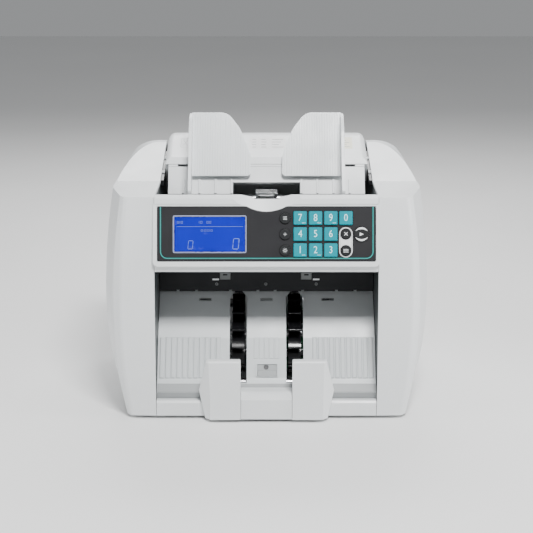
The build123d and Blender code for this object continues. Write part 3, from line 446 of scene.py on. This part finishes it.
def shape(name, body, material, jobs, smooth=None):
    """One piece made of several prisms: each job is (plane, outline, n0, n1, chamfer)."""
    target = bmesh.new()
    for plane, outline, n0, n1, chamfer in jobs:
        prism(target, plane, outline, n0, n1, chamfer)
    return piece(name, target, body, material, smooth)


def bar(x0, x1, v0, v1):
    return [(x0, v0), (x1, v0), (x1, v1), (x0, v1)]


# ---------------------------------------------------------------- display panel prints
SCREEN_X, SCREEN_V, SCREEN_N = PANEL.spans("display_window")
FILM_X, FILM_V, FILM_N = PANEL.spans("keypad_overlay")
PANEL_V = middle(PANEL.spans("key_5")[1]) + 0.45 * MM
FILM = FILM_N[1]
INK = 0.05 * MM


def round_corner_line(x0, x1, v_low, v_top, radius, steps=10):
    """Path down one side, round two corners and up the other side."""
    path = [(x0, v_top)]
    for i in range(steps + 1):
        turn = math.radians(180 + 90 * i / steps)
        path.append((x0 + radius + radius * math.cos(turn), v_low + radius + radius * math.sin(turn)))
    for i in range(steps + 1):
        turn = math.radians(270 + 90 * i / steps)
        path.append((x1 - radius + radius * math.cos(turn), v_low + radius + radius * math.sin(turn)))
    path.append((x1, v_top))
    return path


def strip_line(target, plane, path, width, n0, n1):
    """Stripe along a path as separate quads, so that it may turn back on itself."""
    for i in range(len(path) - 1):
        a, b = Vector(path[i]), Vector(path[i + 1])
        side = Vector((-(b - a).y, (b - a).x)).normalized() * width / 2
        corners = [tuple(a - side), tuple(b - side), tuple(b + side), tuple(a + side)]
        prism(target, plane, corners, n0, n1)


def make_panel_prints():
    line = bmesh.new()
    low = PANEL_V - 22.8 * MM
    path = round_corner_line(-97.8 * MM, 98.3 * MM, low, FILM_V[1] - 0.2 * MM, 6.3 * MM)
    ribbon(line, PANEL, path, 0.95 * MM, FILM - INK, FILM + INK)
    piece("panel_line", line, "housing", "ink_teal")

    border = bmesh.new()
    margin = 0.75 * MM
    outer = rounded(SCREEN_X[0] - margin, SCREEN_X[1] + margin, SCREEN_V[0] - margin,
                    SCREEN_V[1] + margin, 1.6 * MM)
    inner = rounded(SCREEN_X[0] - 0.1 * MM, SCREEN_X[1] + 0.1 * MM, SCREEN_V[0] - 0.1 * MM,
                    SCREEN_V[1] + 0.1 * MM, 0.9 * MM)
    ring_band(border, PANEL, outer, inner, FILM - INK, FILM + INK)
    piece("screen_border", border, "housing", "ink_screen")


def make_pill():
    """White track round the two dark keys of the last column."""
    top_x, top_v, _ = PANEL.spans("key_clear")
    low_x, low_v, _ = PANEL.spans("key_batch")
    x, upper, lower = middle(top_x), middle(top_v), middle(low_v)
    radius = 6.17 * MM
    pill = bmesh.new()

    def track(r):
        points = disc(x, upper, r, 24, 0, 180) + disc(x, lower, r, 24, 180, 180)
        return points

    ring_band(pill, PANEL, track(radius), track(radius - 1.0 * MM), FILM - INK, FILM + INK)
    gap = 5.35 * MM
    web = []
    for i in range(13):
        turn = math.radians(200 + 140 * i / 12)
        web.append((x + gap * math.cos(turn), upper + gap * math.sin(turn)))
    for i in range(13):
        turn = math.radians(20 + 140 * i / 12)
        web.append((x + gap * math.cos(turn), lower + gap * math.sin(turn)))
    prism(pill, PANEL, web, FILM - INK, FILM + INK)
    piece("key_track", pill, "housing", "ink_white")


def make_start_ring():
    """Crescents above and below the start key, printed on the key's own top."""
    x_span, v_span, n_span = PANEL.spans("key_start")
    x, v, top = middle(x_span), middle(v_span), n_span[1]
    ring = bmesh.new()
    for upwards in (True, False):
        sign = 1 if upwards else -1
        points = []
        for i in range(21):
            turn = math.radians(26 + 128 * i / 20) * sign
            points.append((x + 6.3 * MM * math.cos(turn), v + 6.3 * MM * math.sin(turn)))
        low = points[0][1]
        half = points[0][0] - x
        peak = v + sign * 4.6 * MM
        for i in range(1, 20):
            t = 1 - 2 * i / 20
            points.append((x - half * t, low + (peak - low) * (1 - t * t)))
        if not upwards:
            points = points[::-1]
        prism(ring, PANEL, points, top - INK, top + INK)
    piece("start_ring", ring, "key_start", "ink_white")


def key_face(name):
    x_span, v_span, n_span = PANEL.spans(name)
    return middle(x_span), middle(v_span), n_span[1]


def make_digits():
    for digit in "0123456789":
        name = "key_" + digit
        x, v, top = key_face(name)
        sign = bmesh.new()
        add_text(sign, PANEL, digit, x, v + 0.5 * MM, 6.5 * MM, top - INK, top + INK, 0.82)
        if digit in "78912":
            for i in range(3):
                left = x + (1.7 + 1.15 * i) * MM
                tick = bar(left, left + 0.75 * MM, v - 4.75 * MM, v - 4.2 * MM)
                prism(sign, PANEL, tick, top - INK, top + INK)
        piece("digit_" + digit, sign, name, "ink_cyan")


def make_round_legends():
    """Plain signs on the round keys: lines, a plus, a ring, a cross, bars and a triangle."""
    for name in ("key_mode", "key_add", "key_uv"):
        x, v, top = key_face(name)
        ring = bmesh.new()
        ring_band(ring, PANEL, disc(x, v, 4.45 * MM), disc(x, v, 4.25 * MM), top - INK, top + INK)
        piece(name + "_ring", ring, name, "ink_faint")
    x, v, top = key_face("key_mode")
    lines = [(PANEL, bar(x - 1.7 * MM, x + 1.7 * MM, v + d * MM, v + (d + 0.36) * MM),
              top - INK, top + INK, 0)
             for d in (1.0, -0.18, -1.36)]
    shape("legend_mode", "key_mode", "ink_white", lines)
    x, v, top = key_face("key_add")
    cross = [(PANEL, bar(x - 1.6 * MM, x + 1.6 * MM, v - 0.2 * MM, v + 0.2 * MM), top - INK, top + INK, 0),
             (PANEL, bar(x - 0.2 * MM, x + 0.2 * MM, v - 1.6 * MM, v + 1.6 * MM), top - INK, top + INK, 0)]
    shape("legend_add", "key_add", "ink_white", cross)
    x, v, top = key_face("key_uv")
    lamp = bmesh.new()
    ring_band(lamp, PANEL, disc(x, v, 1.2 * MM), disc(x, v, 0.86 * MM), top - INK, top + INK)
    for i in range(8):
        turn = math.radians(45 * i)
        near, far = 1.6 * MM, 2.2 * MM
        path = [(x + near * math.cos(turn), v + near * math.sin(turn)),
                (x + far * math.cos(turn), v + far * math.sin(turn))]
        strip_line(lamp, PANEL, path, 0.28 * MM, top - INK, top + INK)
    piece("legend_lamp", lamp, "key_uv", "ink_white")
    x, v, top = key_face("key_clear")
    clear = bmesh.new()
    arm = 1.5 * MM
    for sign in (1, -1):
        strip_line(clear, PANEL, [(x - arm, v - arm * sign), (x + arm, v + arm * sign)], 0.55 * MM,
                   top - INK, top + INK)
    piece("legend_clear", clear, "key_clear", "ink_white")
    x, v, top = key_face("key_batch")
    stack = [(PANEL, bar(x - 2.3 * MM, x + 2.3 * MM, v + d * MM, v + (d + 0.45) * MM),
              top - INK, top + INK, 0)
             for d in (1.0, -0.22, -1.44)]
    shape("legend_stack", "key_batch", "ink_white", stack)
    x, v, top = key_face("key_start")
    arrow = [(x - 1.7 * MM, v - 1.6 * MM), (x + 2.0 * MM, v), (x - 1.7 * MM, v + 1.6 * MM)]
    shape("legend_start", "key_start", "ink_white", [(PANEL, arrow, top - INK, top + INK, 0)])


# ---------------------------------------------------------------- liquid crystal display
GLASS_FRONT = surface("display_module", PANEL, middle(SCREEN_X), middle(SCREEN_V))


def seven_segment_zero(target, x, v, width, height, stroke, slant=0.10):
    """The six outer segments of a slanted zero, with gaps between them."""
    n0, n1 = GLASS_FRONT - 0.02 * MM, GLASS_FRONT + 0.12 * MM
    gap = stroke * 0.35

    def lean(point):
        return (point[0] + slant * (point[1] - v), point[1])

    low, mid, high = v - height / 2, v, v + height / 2
    left, right = x - width / 2, x + width / 2
    for a, b in (((left, low), (left, mid)), ((left, mid), (left, high)), ((right, low), (right, mid)),
                 ((right, mid), (right, high)), ((left, low), (right, low)), ((left, high), (right, high))):
        along = (Vector(b) - Vector(a)).normalized()
        start, end = Vector(a) + along * (gap + stroke / 2), Vector(b) - along * (gap + stroke / 2)
        side = Vector((-along.y, along.x)) * stroke / 2
        tip = along * stroke / 2
        outline = [start - tip, start - side, end - side, end + tip, end + side, start + side]
        prism(target, PANEL, [lean(tuple(p)) for p in outline], n0, n1)


def make_display_contents():
    n0, n1 = GLASS_FRONT - 0.02 * MM, GLASS_FRONT + 0.12 * MM
    x0, x1, v0, v1 = SCREEN_X[0], SCREEN_X[1], SCREEN_V[0], SCREEN_V[1]
    width, height = x1 - x0, v1 - v0
    lit = bmesh.new()
    rule = v0 + 0.71 * height
    prism(lit, PANEL, bar(x0 + 0.04 * width, x0 + 0.965 * width, rule, rule + 0.3 * MM), n0, n1)
    seven_segment_zero(lit, x0 + 0.232 * width, v0 + 0.205 * height, 4.2 * MM, 7.6 * MM, 0.5 * MM)
    seven_segment_zero(lit, x0 + 0.865 * width, v0 + 0.235 * height, 5.2 * MM, 9.6 * MM, 0.62 * MM)
    piece("display_figures", lit, "housing", "lcd_light")

    marks = bmesh.new()
    row = v0 + 0.80 * height
    for start, widths in ((0.045, (1.5, 0.8, 2.0)), (0.345, (0.8, 2.2)), (0.455, (1.9, 1.9))):
        left = x0 + start * width
        for w in widths:
            frame_outer = bar(left, left + w * MM, row, row + 2.3 * MM)
            inset = 0.42 * MM
            if w > 1.2:
                frame_inner = bar(left + inset, left + w * MM - inset, row + inset, row + 2.3 * MM - inset)
                ring_band(marks, PANEL, frame_outer, frame_inner, n0, n1)
            else:
                prism(marks, PANEL, bar(left + 0.2 * MM, left + 0.62 * MM, row, row + 2.3 * MM), n0, n1)
            left += (w + 0.55) * MM
    left = x0 + 0.37 * width
    row = v0 + 0.565 * height
    for i in range(4):
        x = left + (1.4 + 3.0 * i) * MM
        outer, inner = disc(x, row + 1.3 * MM, 1.15 * MM, 20), disc(x, row + 1.3 * MM, 0.75 * MM, 20)
        ring_band(marks, PANEL, outer, inner, n0, n1)
    piece("display_marks", marks, "housing", "lcd_dim")


# ---------------------------------------------------------------- note pocket
BAR_TOP = 17.5 * MM
PLATE, PLATE_N = facing("stacker_plate", (0, -0.855, 0.518))
WALL, WALL_N = facing("transport_guide", (0, -1.0, 0.06))


def make_plate_ribs():
    """Low ribs on the lower part of the pocket's back, wide at the sides and faint in the middle."""
    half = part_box("stacker_plate")[1][0]
    ribs = bmesh.new()
    x = half - 4.2 * MM
    while x > 43 * MM:
        for side in (1, -1):
            outline = bar(side * x - 2.2 * MM, side * x + 2.2 * MM, -18.6 * MM, 21.6 * MM)
            prism(ribs, PLATE, outline, PLATE_N - 0.3 * MM, PLATE_N + 1.0 * MM, 0.75 * MM)
        x -= 5.35 * MM
    for i in range(5):
        centre = (i - 2) * 5.0 * MM
        outline = bar(centre - 2.1 * MM, centre + 2.1 * MM, 0.5 * MM, 21.2 * MM)
        prism(ribs, PLATE, outline, PLATE_N - 0.3 * MM, PLATE_N + 0.4 * MM, 0.3 * MM)
    piece("pocket_ribs", ribs, "housing", "pocket_grey")


def make_painted_floor_shade():
    """Painted shade on the pocket's floor: darker strips at the plate's foot and down to the front bars, where the
    floor lies in shade.
    """
    foot, foot_n = facing("stacker_plate", (0, -0.813, 0.583), 0.9992)
    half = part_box("stacker_plate")[1][0] - 0.6 * MM
    bar_top = BAR_TOP + 0.2 * MM

    def foot_v(z):
        y = (foot_n - z * foot.n.z) / foot.n.y
        return foot.v.y * y + foot.v.z * z

    front = surface("stacker_plate", FRONT, 60 * MM, bar_top + 2 * MM)
    strips = [(foot, bar(-half, half, foot_v(23.2 * MM), foot_v(30.1 * MM)), foot_n - 0.3 * MM,
               foot_n + 0.35 * MM, 0.2 * MM),
              (FRONT, bar(-half, half, bar_top, 23.0 * MM), front - 0.3 * MM, front + 0.3 * MM, 0)]
    # The strips are painted shade: the same plastic as the plate, darkened for the shade the floor lies in.
    shape("painted_pocket_floor_shade", "housing", "pocket_shade", strips)


def make_bezel_shadow_line():
    """Painted shadow line under the display panel: a dark strip where the panel's lower edge casts shade."""
    low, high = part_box("display_bezel")
    edge = PANEL.spans("display_bezel")[1][0]
    flange = surface("display_bezel", PANEL, 0, edge + 1.5 * MM)
    outline = bar(low[0] + 3 * MM, high[0] - 3 * MM, edge - 0.7 * MM, edge - 0.05 * MM)
    line = [(PANEL, outline, flange - 2.2 * MM, flange - 0.35 * MM, 0)]
    shape("bezel_shadow_gap", "housing", "seal_and_painted_shade", line)


def make_plate_bracket():
    """Screwed fixing point low in the middle of the plate: a shallow box with one screw."""
    low, high = -17.4 * MM, -4.0 * MM
    x0, x1 = -10.2 * MM, 11.4 * MM
    rim = bmesh.new()
    outer, inner = rounded(x0, x1, low, high, 1.2 * MM), rounded(x0 + 1.3 * MM, x1 - 1.3 * MM, low + 0.5 * MM,
                                                                   high - 1.1 * MM, 0.5 * MM)
    ring_band(rim, PLATE, outer, inner, PLATE_N - 0.05 * MM, PLATE_N + 0.95 * MM)
    piece("bracket_rim", rim, "housing", "pocket_grey")
    # The bracket's floor and the low step in it are painted shade: darker than the plate, for the shade in the
    # recess.
    floor = [(PLATE, bar(x0 + 1.3 * MM, x1 - 1.3 * MM, low + 0.5 * MM, high - 1.1 * MM), PLATE_N - 0.05 * MM,
              PLATE_N + 0.1 * MM, 0),
             (PLATE, bar(x0 + 1.4 * MM, x1 - 1.4 * MM, low + 0.6 * MM, low + 6.4 * MM), PLATE_N,
              PLATE_N + 0.55 * MM, 0.3 * MM)]
    shape("bracket_floor", "housing", "pocket_shade", floor)
    x, v = (x0 + x1) / 2 - 0.9 * MM, high - 3.6 * MM
    screw = bmesh.new()
    ring_band(screw, PLATE, disc(x, v, 2.3 * MM), disc(x, v, 1.35 * MM), PLATE_N, PLATE_N + 0.75 * MM)
    prism(screw, PLATE, disc(x, v, 1.35 * MM), PLATE_N, PLATE_N + 0.35 * MM)
    piece("bracket_screw", screw, "housing", "screw_black", smooth=40)


def make_sensor_slits():
    """Rims in painted shade round the three sensor slits of the plate: darker for the shade the slits fall into.
    """
    upper, upper_n = facing("stacker_plate", (0, -0.66, 0.75))
    slit_shade = bmesh.new()
    for x in (-59.6 * MM, 0.0, 59.6 * MM):
        z = 97.9 * MM
        v = upper.v.y * (upper_n - z * upper.n.z) / upper.n.y + upper.v.z * z
        outer = rounded(x - 6.1 * MM, x + 6.1 * MM, v - 1.75 * MM, v + 1.75 * MM, 0.5 * MM, 4)
        inner = rounded(x - 5.4 * MM, x + 5.4 * MM, v - 1.15 * MM, v + 1.15 * MM, 0.3 * MM, 4)
        ring_band(slit_shade, upper, outer, inner, upper_n - 0.1 * MM, upper_n + 0.08 * MM)
    piece("sensor_slit_painted_shade", slit_shade, "housing", "pocket_shade")


def make_wall_fittings():
    """Sensor holders, white marks and screws on the black wall over the plate."""
    holders, holes, marks, screws = bmesh.new(), bmesh.new(), bmesh.new(), bmesh.new()

    def wall_v(z):
        y = (WALL_N - z * WALL.n.z) / WALL.n.y
        return WALL.v.y * y + WALL.v.z * z

    for x in (-39.9 * MM, 38.5 * MM):
        outline = rounded(x - 5.2 * MM, x + 5.2 * MM, wall_v(119.6 * MM), wall_v(132 * MM), 0.6 * MM, 4)
        prism(holders, WALL, outline, WALL_N - 0.2 * MM, WALL_N + 2.6 * MM, 0.4 * MM)
        hole = rounded(x - 2.2 * MM, x + 2.2 * MM, wall_v(123.9 * MM), wall_v(125.4 * MM), 0.5 * MM, 4)
        prism(holes, WALL, hole, WALL_N + 2.0 * MM, WALL_N + 2.66 * MM)
    for x in (-49.2 * MM, 48.1 * MM):
        mark = bar(x - 3.1 * MM, x + 3.1 * MM, wall_v(118.3 * MM), wall_v(119.8 * MM))
        prism(marks, WALL, mark, WALL_N - 0.1 * MM, WALL_N + 0.15 * MM)
    for x in (-0.6 * MM, 48.2 * MM, -48.2 * MM):
        v = wall_v(114.4 * MM)
        outer, inner = disc(x, v, 1.5 * MM, 24), disc(x, v, 0.7 * MM, 24)
        ring_band(screws, WALL, outer, inner, WALL_N - 0.1 * MM, WALL_N + 0.6 * MM)
    piece("wall_holders", holders, "housing", "fitting_grey")
    piece("wall_holes", holes, "housing", "black_moulding")
    piece("wall_marks", marks, "housing", "ink_white")
    piece("wall_screws", screws, "housing", "fitting_grey", smooth=40)


# ---------------------------------------------------------------- hopper and lid
def make_guide_ribs():
    """Fine upright ribs over the front of both note guides."""
    for node, body in (("hopper_guide_right", "guide_right"), ("hopper_guide_left", "guide_left")):
        v_low = HOPPER.spans(node)[1][0]
        sign = 1 if node.endswith("right") else -1
        ribs = bmesh.new()
        inside = [vertex.co for vertex in NODES[node].data.vertices]
        face = surface(node, HOPPER, sign * 50 * MM, v_low + 40 * MM)
        edge_low = min(c.dot(HOPPER.v) for c in inside if abs(c.dot(HOPPER.n) - face) < 0.1 * MM)
        edge_high = max(c.dot(HOPPER.v) for c in inside if abs(c.dot(HOPPER.n) - face) < 0.1 * MM)
        x = 17.6 * MM
        while x < 72.6 * MM:
            low = high = None
            v = edge_low + 0.5 * MM
            while v < edge_high - 0.3 * MM:
                hits = [surface(node, HOPPER, sign * (x + d), v) for d in (-0.62 * MM, 0.62 * MM)]
                if all(h is not None and abs(h - face) < 0.05 * MM for h in hits):
                    low = v if low is None else low
                    high = v
                v += 0.5 * MM
            if low is not None and high - low > 4 * MM:
                outline = bar(sign * x - 0.55 * MM, sign * x + 0.55 * MM, low + 0.4 * MM, high - 0.6 * MM)
                prism(ribs, HOPPER, outline, face - 0.05 * MM, face + 0.22 * MM, 0.16 * MM)
            x += 2.5 * MM
        piece(node + "_ribs", ribs, body, "guide_white")


def make_slot_fillers():
    """Closed stretches of the slot that the guides slide in, at its middle and its ends."""
    face = surface("hopper_back_plate", HOPPER, 90 * MM, SLOT_V - 4 * MM)
    filler = bmesh.new()
    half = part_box("hopper_back_plate")[1][0]
    for x0, x1 in ((-24 * MM, 24 * MM), (87.6 * MM, half), (-half, -87.6 * MM)):
        outline = bar(x0, x1, SLOT_V + 0.25 * MM, SLOT_V + 2.3 * MM)
        prism(filler, HOPPER, outline, face - 2.2 * MM, face - 0.15 * MM)
    piece("slot_fillers", filler, "lid", "housing_white")


def slot_edge():
    """Lower edge of the guides' slot: the highest point near the front of the back plate."""
    node = "hopper_back_plate"
    front = surface(node, HOPPER, 90 * MM, middle(HOPPER.spans(node)[1]))
    points = [vertex.co for vertex in NODES[node].data.vertices]
    return max(point.dot(HOPPER.v) for point in points if point.dot(HOPPER.n) > front - 3 * MM)


SLOT_V = slot_edge()
LID, LID_N = facing("rear_cover", (0, -0.33, 0.944))


def make_lid_labels():
    """Labels on the lid without lettering: ruled lines, an outline drawing and a cream notice."""
    lip = LID.v.y * 11.8 * MM + LID.v.z * 228.6 * MM
    paper = rounded(-17.5 * MM, 19.5 * MM, lip + 17.0 * MM, lip + 40.5 * MM, 1 * MM)
    base = [(LID, paper, LID_N - INK, LID_N + INK, 0)]
    shape("label_centre", "lid", "label_paper", base)
    lines = bmesh.new()
    top = LID_N + 2 * INK
    for row in range(4):
        v = lip + (35.5 - 5.2 * row) * MM
        for x0, x1 in ((-14.4, -10.4), (-5.2, -1.0 + row % 2), (5.6, 17.0 - 2.2 * (row % 3))):
            prism(lines, LID, bar(x0 * MM, x1 * MM, v, v + 0.75 * MM), top - 0.02 * MM, top + INK)
    piece("label_centre_lines", lines, "lid", "ink_grey")
    mark = bmesh.new()
    for points in (((-86, 20), (-78, 20), (-76, 30), (-79, 38), (-86, 38), (-86, 20)), ((-84, 24), (-79, 35)),
                   ((-84, 35), (-79.5, 24))):
        path = [(x * MM, lip + v * MM) for x, v in points]
        strip_line(mark, LID, path, 0.55 * MM, LID_N - INK, LID_N + INK)
    piece("label_left_drawing", mark, "lid", "ink_light_grey")
    notice = rounded(60 * MM, 86.4 * MM, lip + 17 * MM, lip + 41 * MM, 1 * MM)
    cream = [(LID, notice, LID_N - INK, LID_N + INK, 0)]
    shape("label_right", "lid", "label_cream", cream)
    rows = [(LID, bar(63 * MM, (83.5 - 3 * (i % 2)) * MM, lip + (21 + 4.2 * i) * MM,
                      lip + (21.7 + 4.2 * i) * MM), LID_N + INK - 0.02 * MM, LID_N + 2 * INK, 0)
            for i in range(4)]
    shape("label_right_lines", "lid", "ink_grey", rows)


def make_side_strips():
    """Dark seals in the gaps beside the lid, each held by two white clips; the seals are also coloured very dark
    as painted shade of the gaps.
    """
    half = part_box("rear_cover")[1][0]
    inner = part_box("right_side_cover")[0][0]
    strips, clips = bmesh.new(), bmesh.new()
    across = Plane((1, 0, 0), up=(0, 0, 1))
    top = [(y * MM, surface("right_side_cover", TOP, inner + 3 * MM, y * MM) - 1.4 * MM)
           for y in (-4, 14, 30, 45, 62)]
    under = [(y, z - 5.0 * MM) for y, z in top]
    for side in (1, -1):
        n0, n1 = sorted((side * (half + 1.0 * MM), side * (inner - 0.3 * MM)))
        prism(strips, across, top + under[::-1], n0, n1)
        for y, z in (top[1], top[3]):
            outline = rounded(y - 1.7 * MM, y + 1.7 * MM, z - 1.0 * MM, z + 1.5 * MM, 0.5 * MM, 3)
            prism(clips, across, outline, n0, n1)
    piece("gap_seals", strips, "housing", "seal_and_painted_shade")
    piece("gap_clips", clips, "housing", "housing_white")


# ---------------------------------------------------------------- back of the machine
def make_rear_details():
    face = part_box("rear_panel")[1][1]
    label = [(BACK, rounded(-92 * MM, -52 * MM, 62 * MM, 86 * MM, 1 * MM), face - INK, face + INK, 0)]
    shape("rating_label", "housing", "label_silver", label)
    rows = [(BACK, bar(-89 * MM, (-56 - 6 * (i % 3)) * MM, (66 + 3.6 * i) * MM, (66.8 + 3.6 * i) * MM),
             face + INK - 0.02 * MM, face + 2 * INK, 0) for i in range(5)]
    shape("rating_lines", "housing", "ink_grey", rows)
    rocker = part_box("power_switch")
    centre = -middle((rocker[0][0], rocker[1][0]))
    node = "power_switch"
    marks = bmesh.new()
    for z, on in ((36.0 * MM, True), (45.5 * MM, False)):
        n = surface(node, BACK, centre, z)
        if on:
            stroke = bar(centre - 0.3 * MM, centre + 0.3 * MM, z - 2 * MM, z + 2 * MM)
            prism(marks, BACK, stroke, n - 0.6 * MM, n + 0.4 * MM)
        else:
            outer, inner = disc(centre, z, 2.0 * MM), disc(centre, z, 1.45 * MM)
            ring_band(marks, BACK, outer, inner, n - 0.4 * MM, n + 0.12 * MM)
    piece("rocker_marks", marks, "rocker", "ink_white")
    low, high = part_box("power_inlet")
    pins = bmesh.new()
    x_mid, z_mid = (62.0 * MM, middle((low[2], high[2])))
    for dx, dz in ((-7, -2), (0, 2), (7, -2)):
        x, z = x_mid + dx * MM, z_mid + dz * MM
        prism(pins, BACK, bar(x - 1.12 * MM, x + 1.12 * MM, z - 2.12 * MM, z + 2.12 * MM), face - 17.0 * MM,
              face - 5.9 * MM, 0.4 * MM)
    piece("inlet_pins", pins, "housing", "brass_pin")


for build_detail in (make_panel_prints, make_pill, make_start_ring, make_digits, make_round_legends,
                     make_display_contents, make_plate_ribs, make_painted_floor_shade, make_bezel_shadow_line,
                     make_plate_bracket, make_sensor_slits, make_wall_fittings, make_guide_ribs,
                     make_slot_fillers, make_lid_labels, make_side_strips, make_rear_details):
    build_detail()


# ---------------------------------------------------------------- floor, light and camera
def make_floor():
    material, tree, shader = nodes_of("floor_pale")
    vary_colour(tree, shader, (0.80, 0.80, 0.795), 0.012, 0.4)
    vary_roughness(tree, shader, 0.5, 0.6, 0.2)
    mesh = bpy.data.meshes.new("floor")
    reach = 4.0
    corners = [(-reach, -reach, 0), (reach, -reach, 0), (reach, reach, 0), (-reach, reach, 0)]
    mesh.from_pydata(corners, [], [(0, 1, 2, 3)])
    floor = bpy.data.objects.new("floor", mesh)
    bpy.context.scene.collection.objects.link(floor)
    mesh.materials.append(material)


def area_light(name, place, target, size, power, colour=(1, 1, 1)):
    data = bpy.data.lights.new(name, "AREA")
    data.shape = "RECTANGLE"
    data.size, data.size_y = size
    data.energy = power
    data.color = colour
    light = bpy.data.objects.new(name, data)
    light.location = place
    light.rotation_euler = (Vector(target) - Vector(place)).to_track_quat("-Z", "Y").to_euler()
    bpy.context.scene.collection.objects.link(light)


def make_world():
    world = bpy.data.worlds.new("studio")
    world.use_nodes = True
    back = world.node_tree.nodes["Background"]
    back.inputs["Color"].default_value = (0.93, 0.95, 0.97, 1)
    back.inputs["Strength"].default_value = 0.33
    bpy.context.scene.world = world


def make_camera():
    """Level with the photo's view: 15 degrees above the horizon, straight from the front."""
    target = Vector((0.0, -0.005, 0.121))
    tilt = math.radians(15)
    data = bpy.data.cameras.new("camera")
    data.lens = 87.94
    data.sensor_width = 36
    camera = bpy.data.objects.new("camera", data)
    camera.location = target + Vector((0, -math.cos(tilt), math.sin(tilt))) * 1.3
    camera.rotation_euler = (target - camera.location).to_track_quat("-Z", "Y").to_euler()
    bpy.context.scene.collection.objects.link(camera)
    bpy.context.scene.camera = camera


make_floor()
make_world()
area_light("key_light", (0.22, -0.82, 1.32), (0, -0.04, 0.10), (0.40, 0.26), 30)
area_light("left_light", (-1.1, -0.35, 0.65), (0, 0, 0.10), (0.5, 0.8), 6)
area_light("right_light", (1.15, -0.30, 0.45), (0, 0, 0.10), (0.4, 0.8), 9)
area_light("back_light", (0.0, 0.95, 1.05), (0, 0.05, 0.15), (0.9, 0.5), 14)
make_camera()
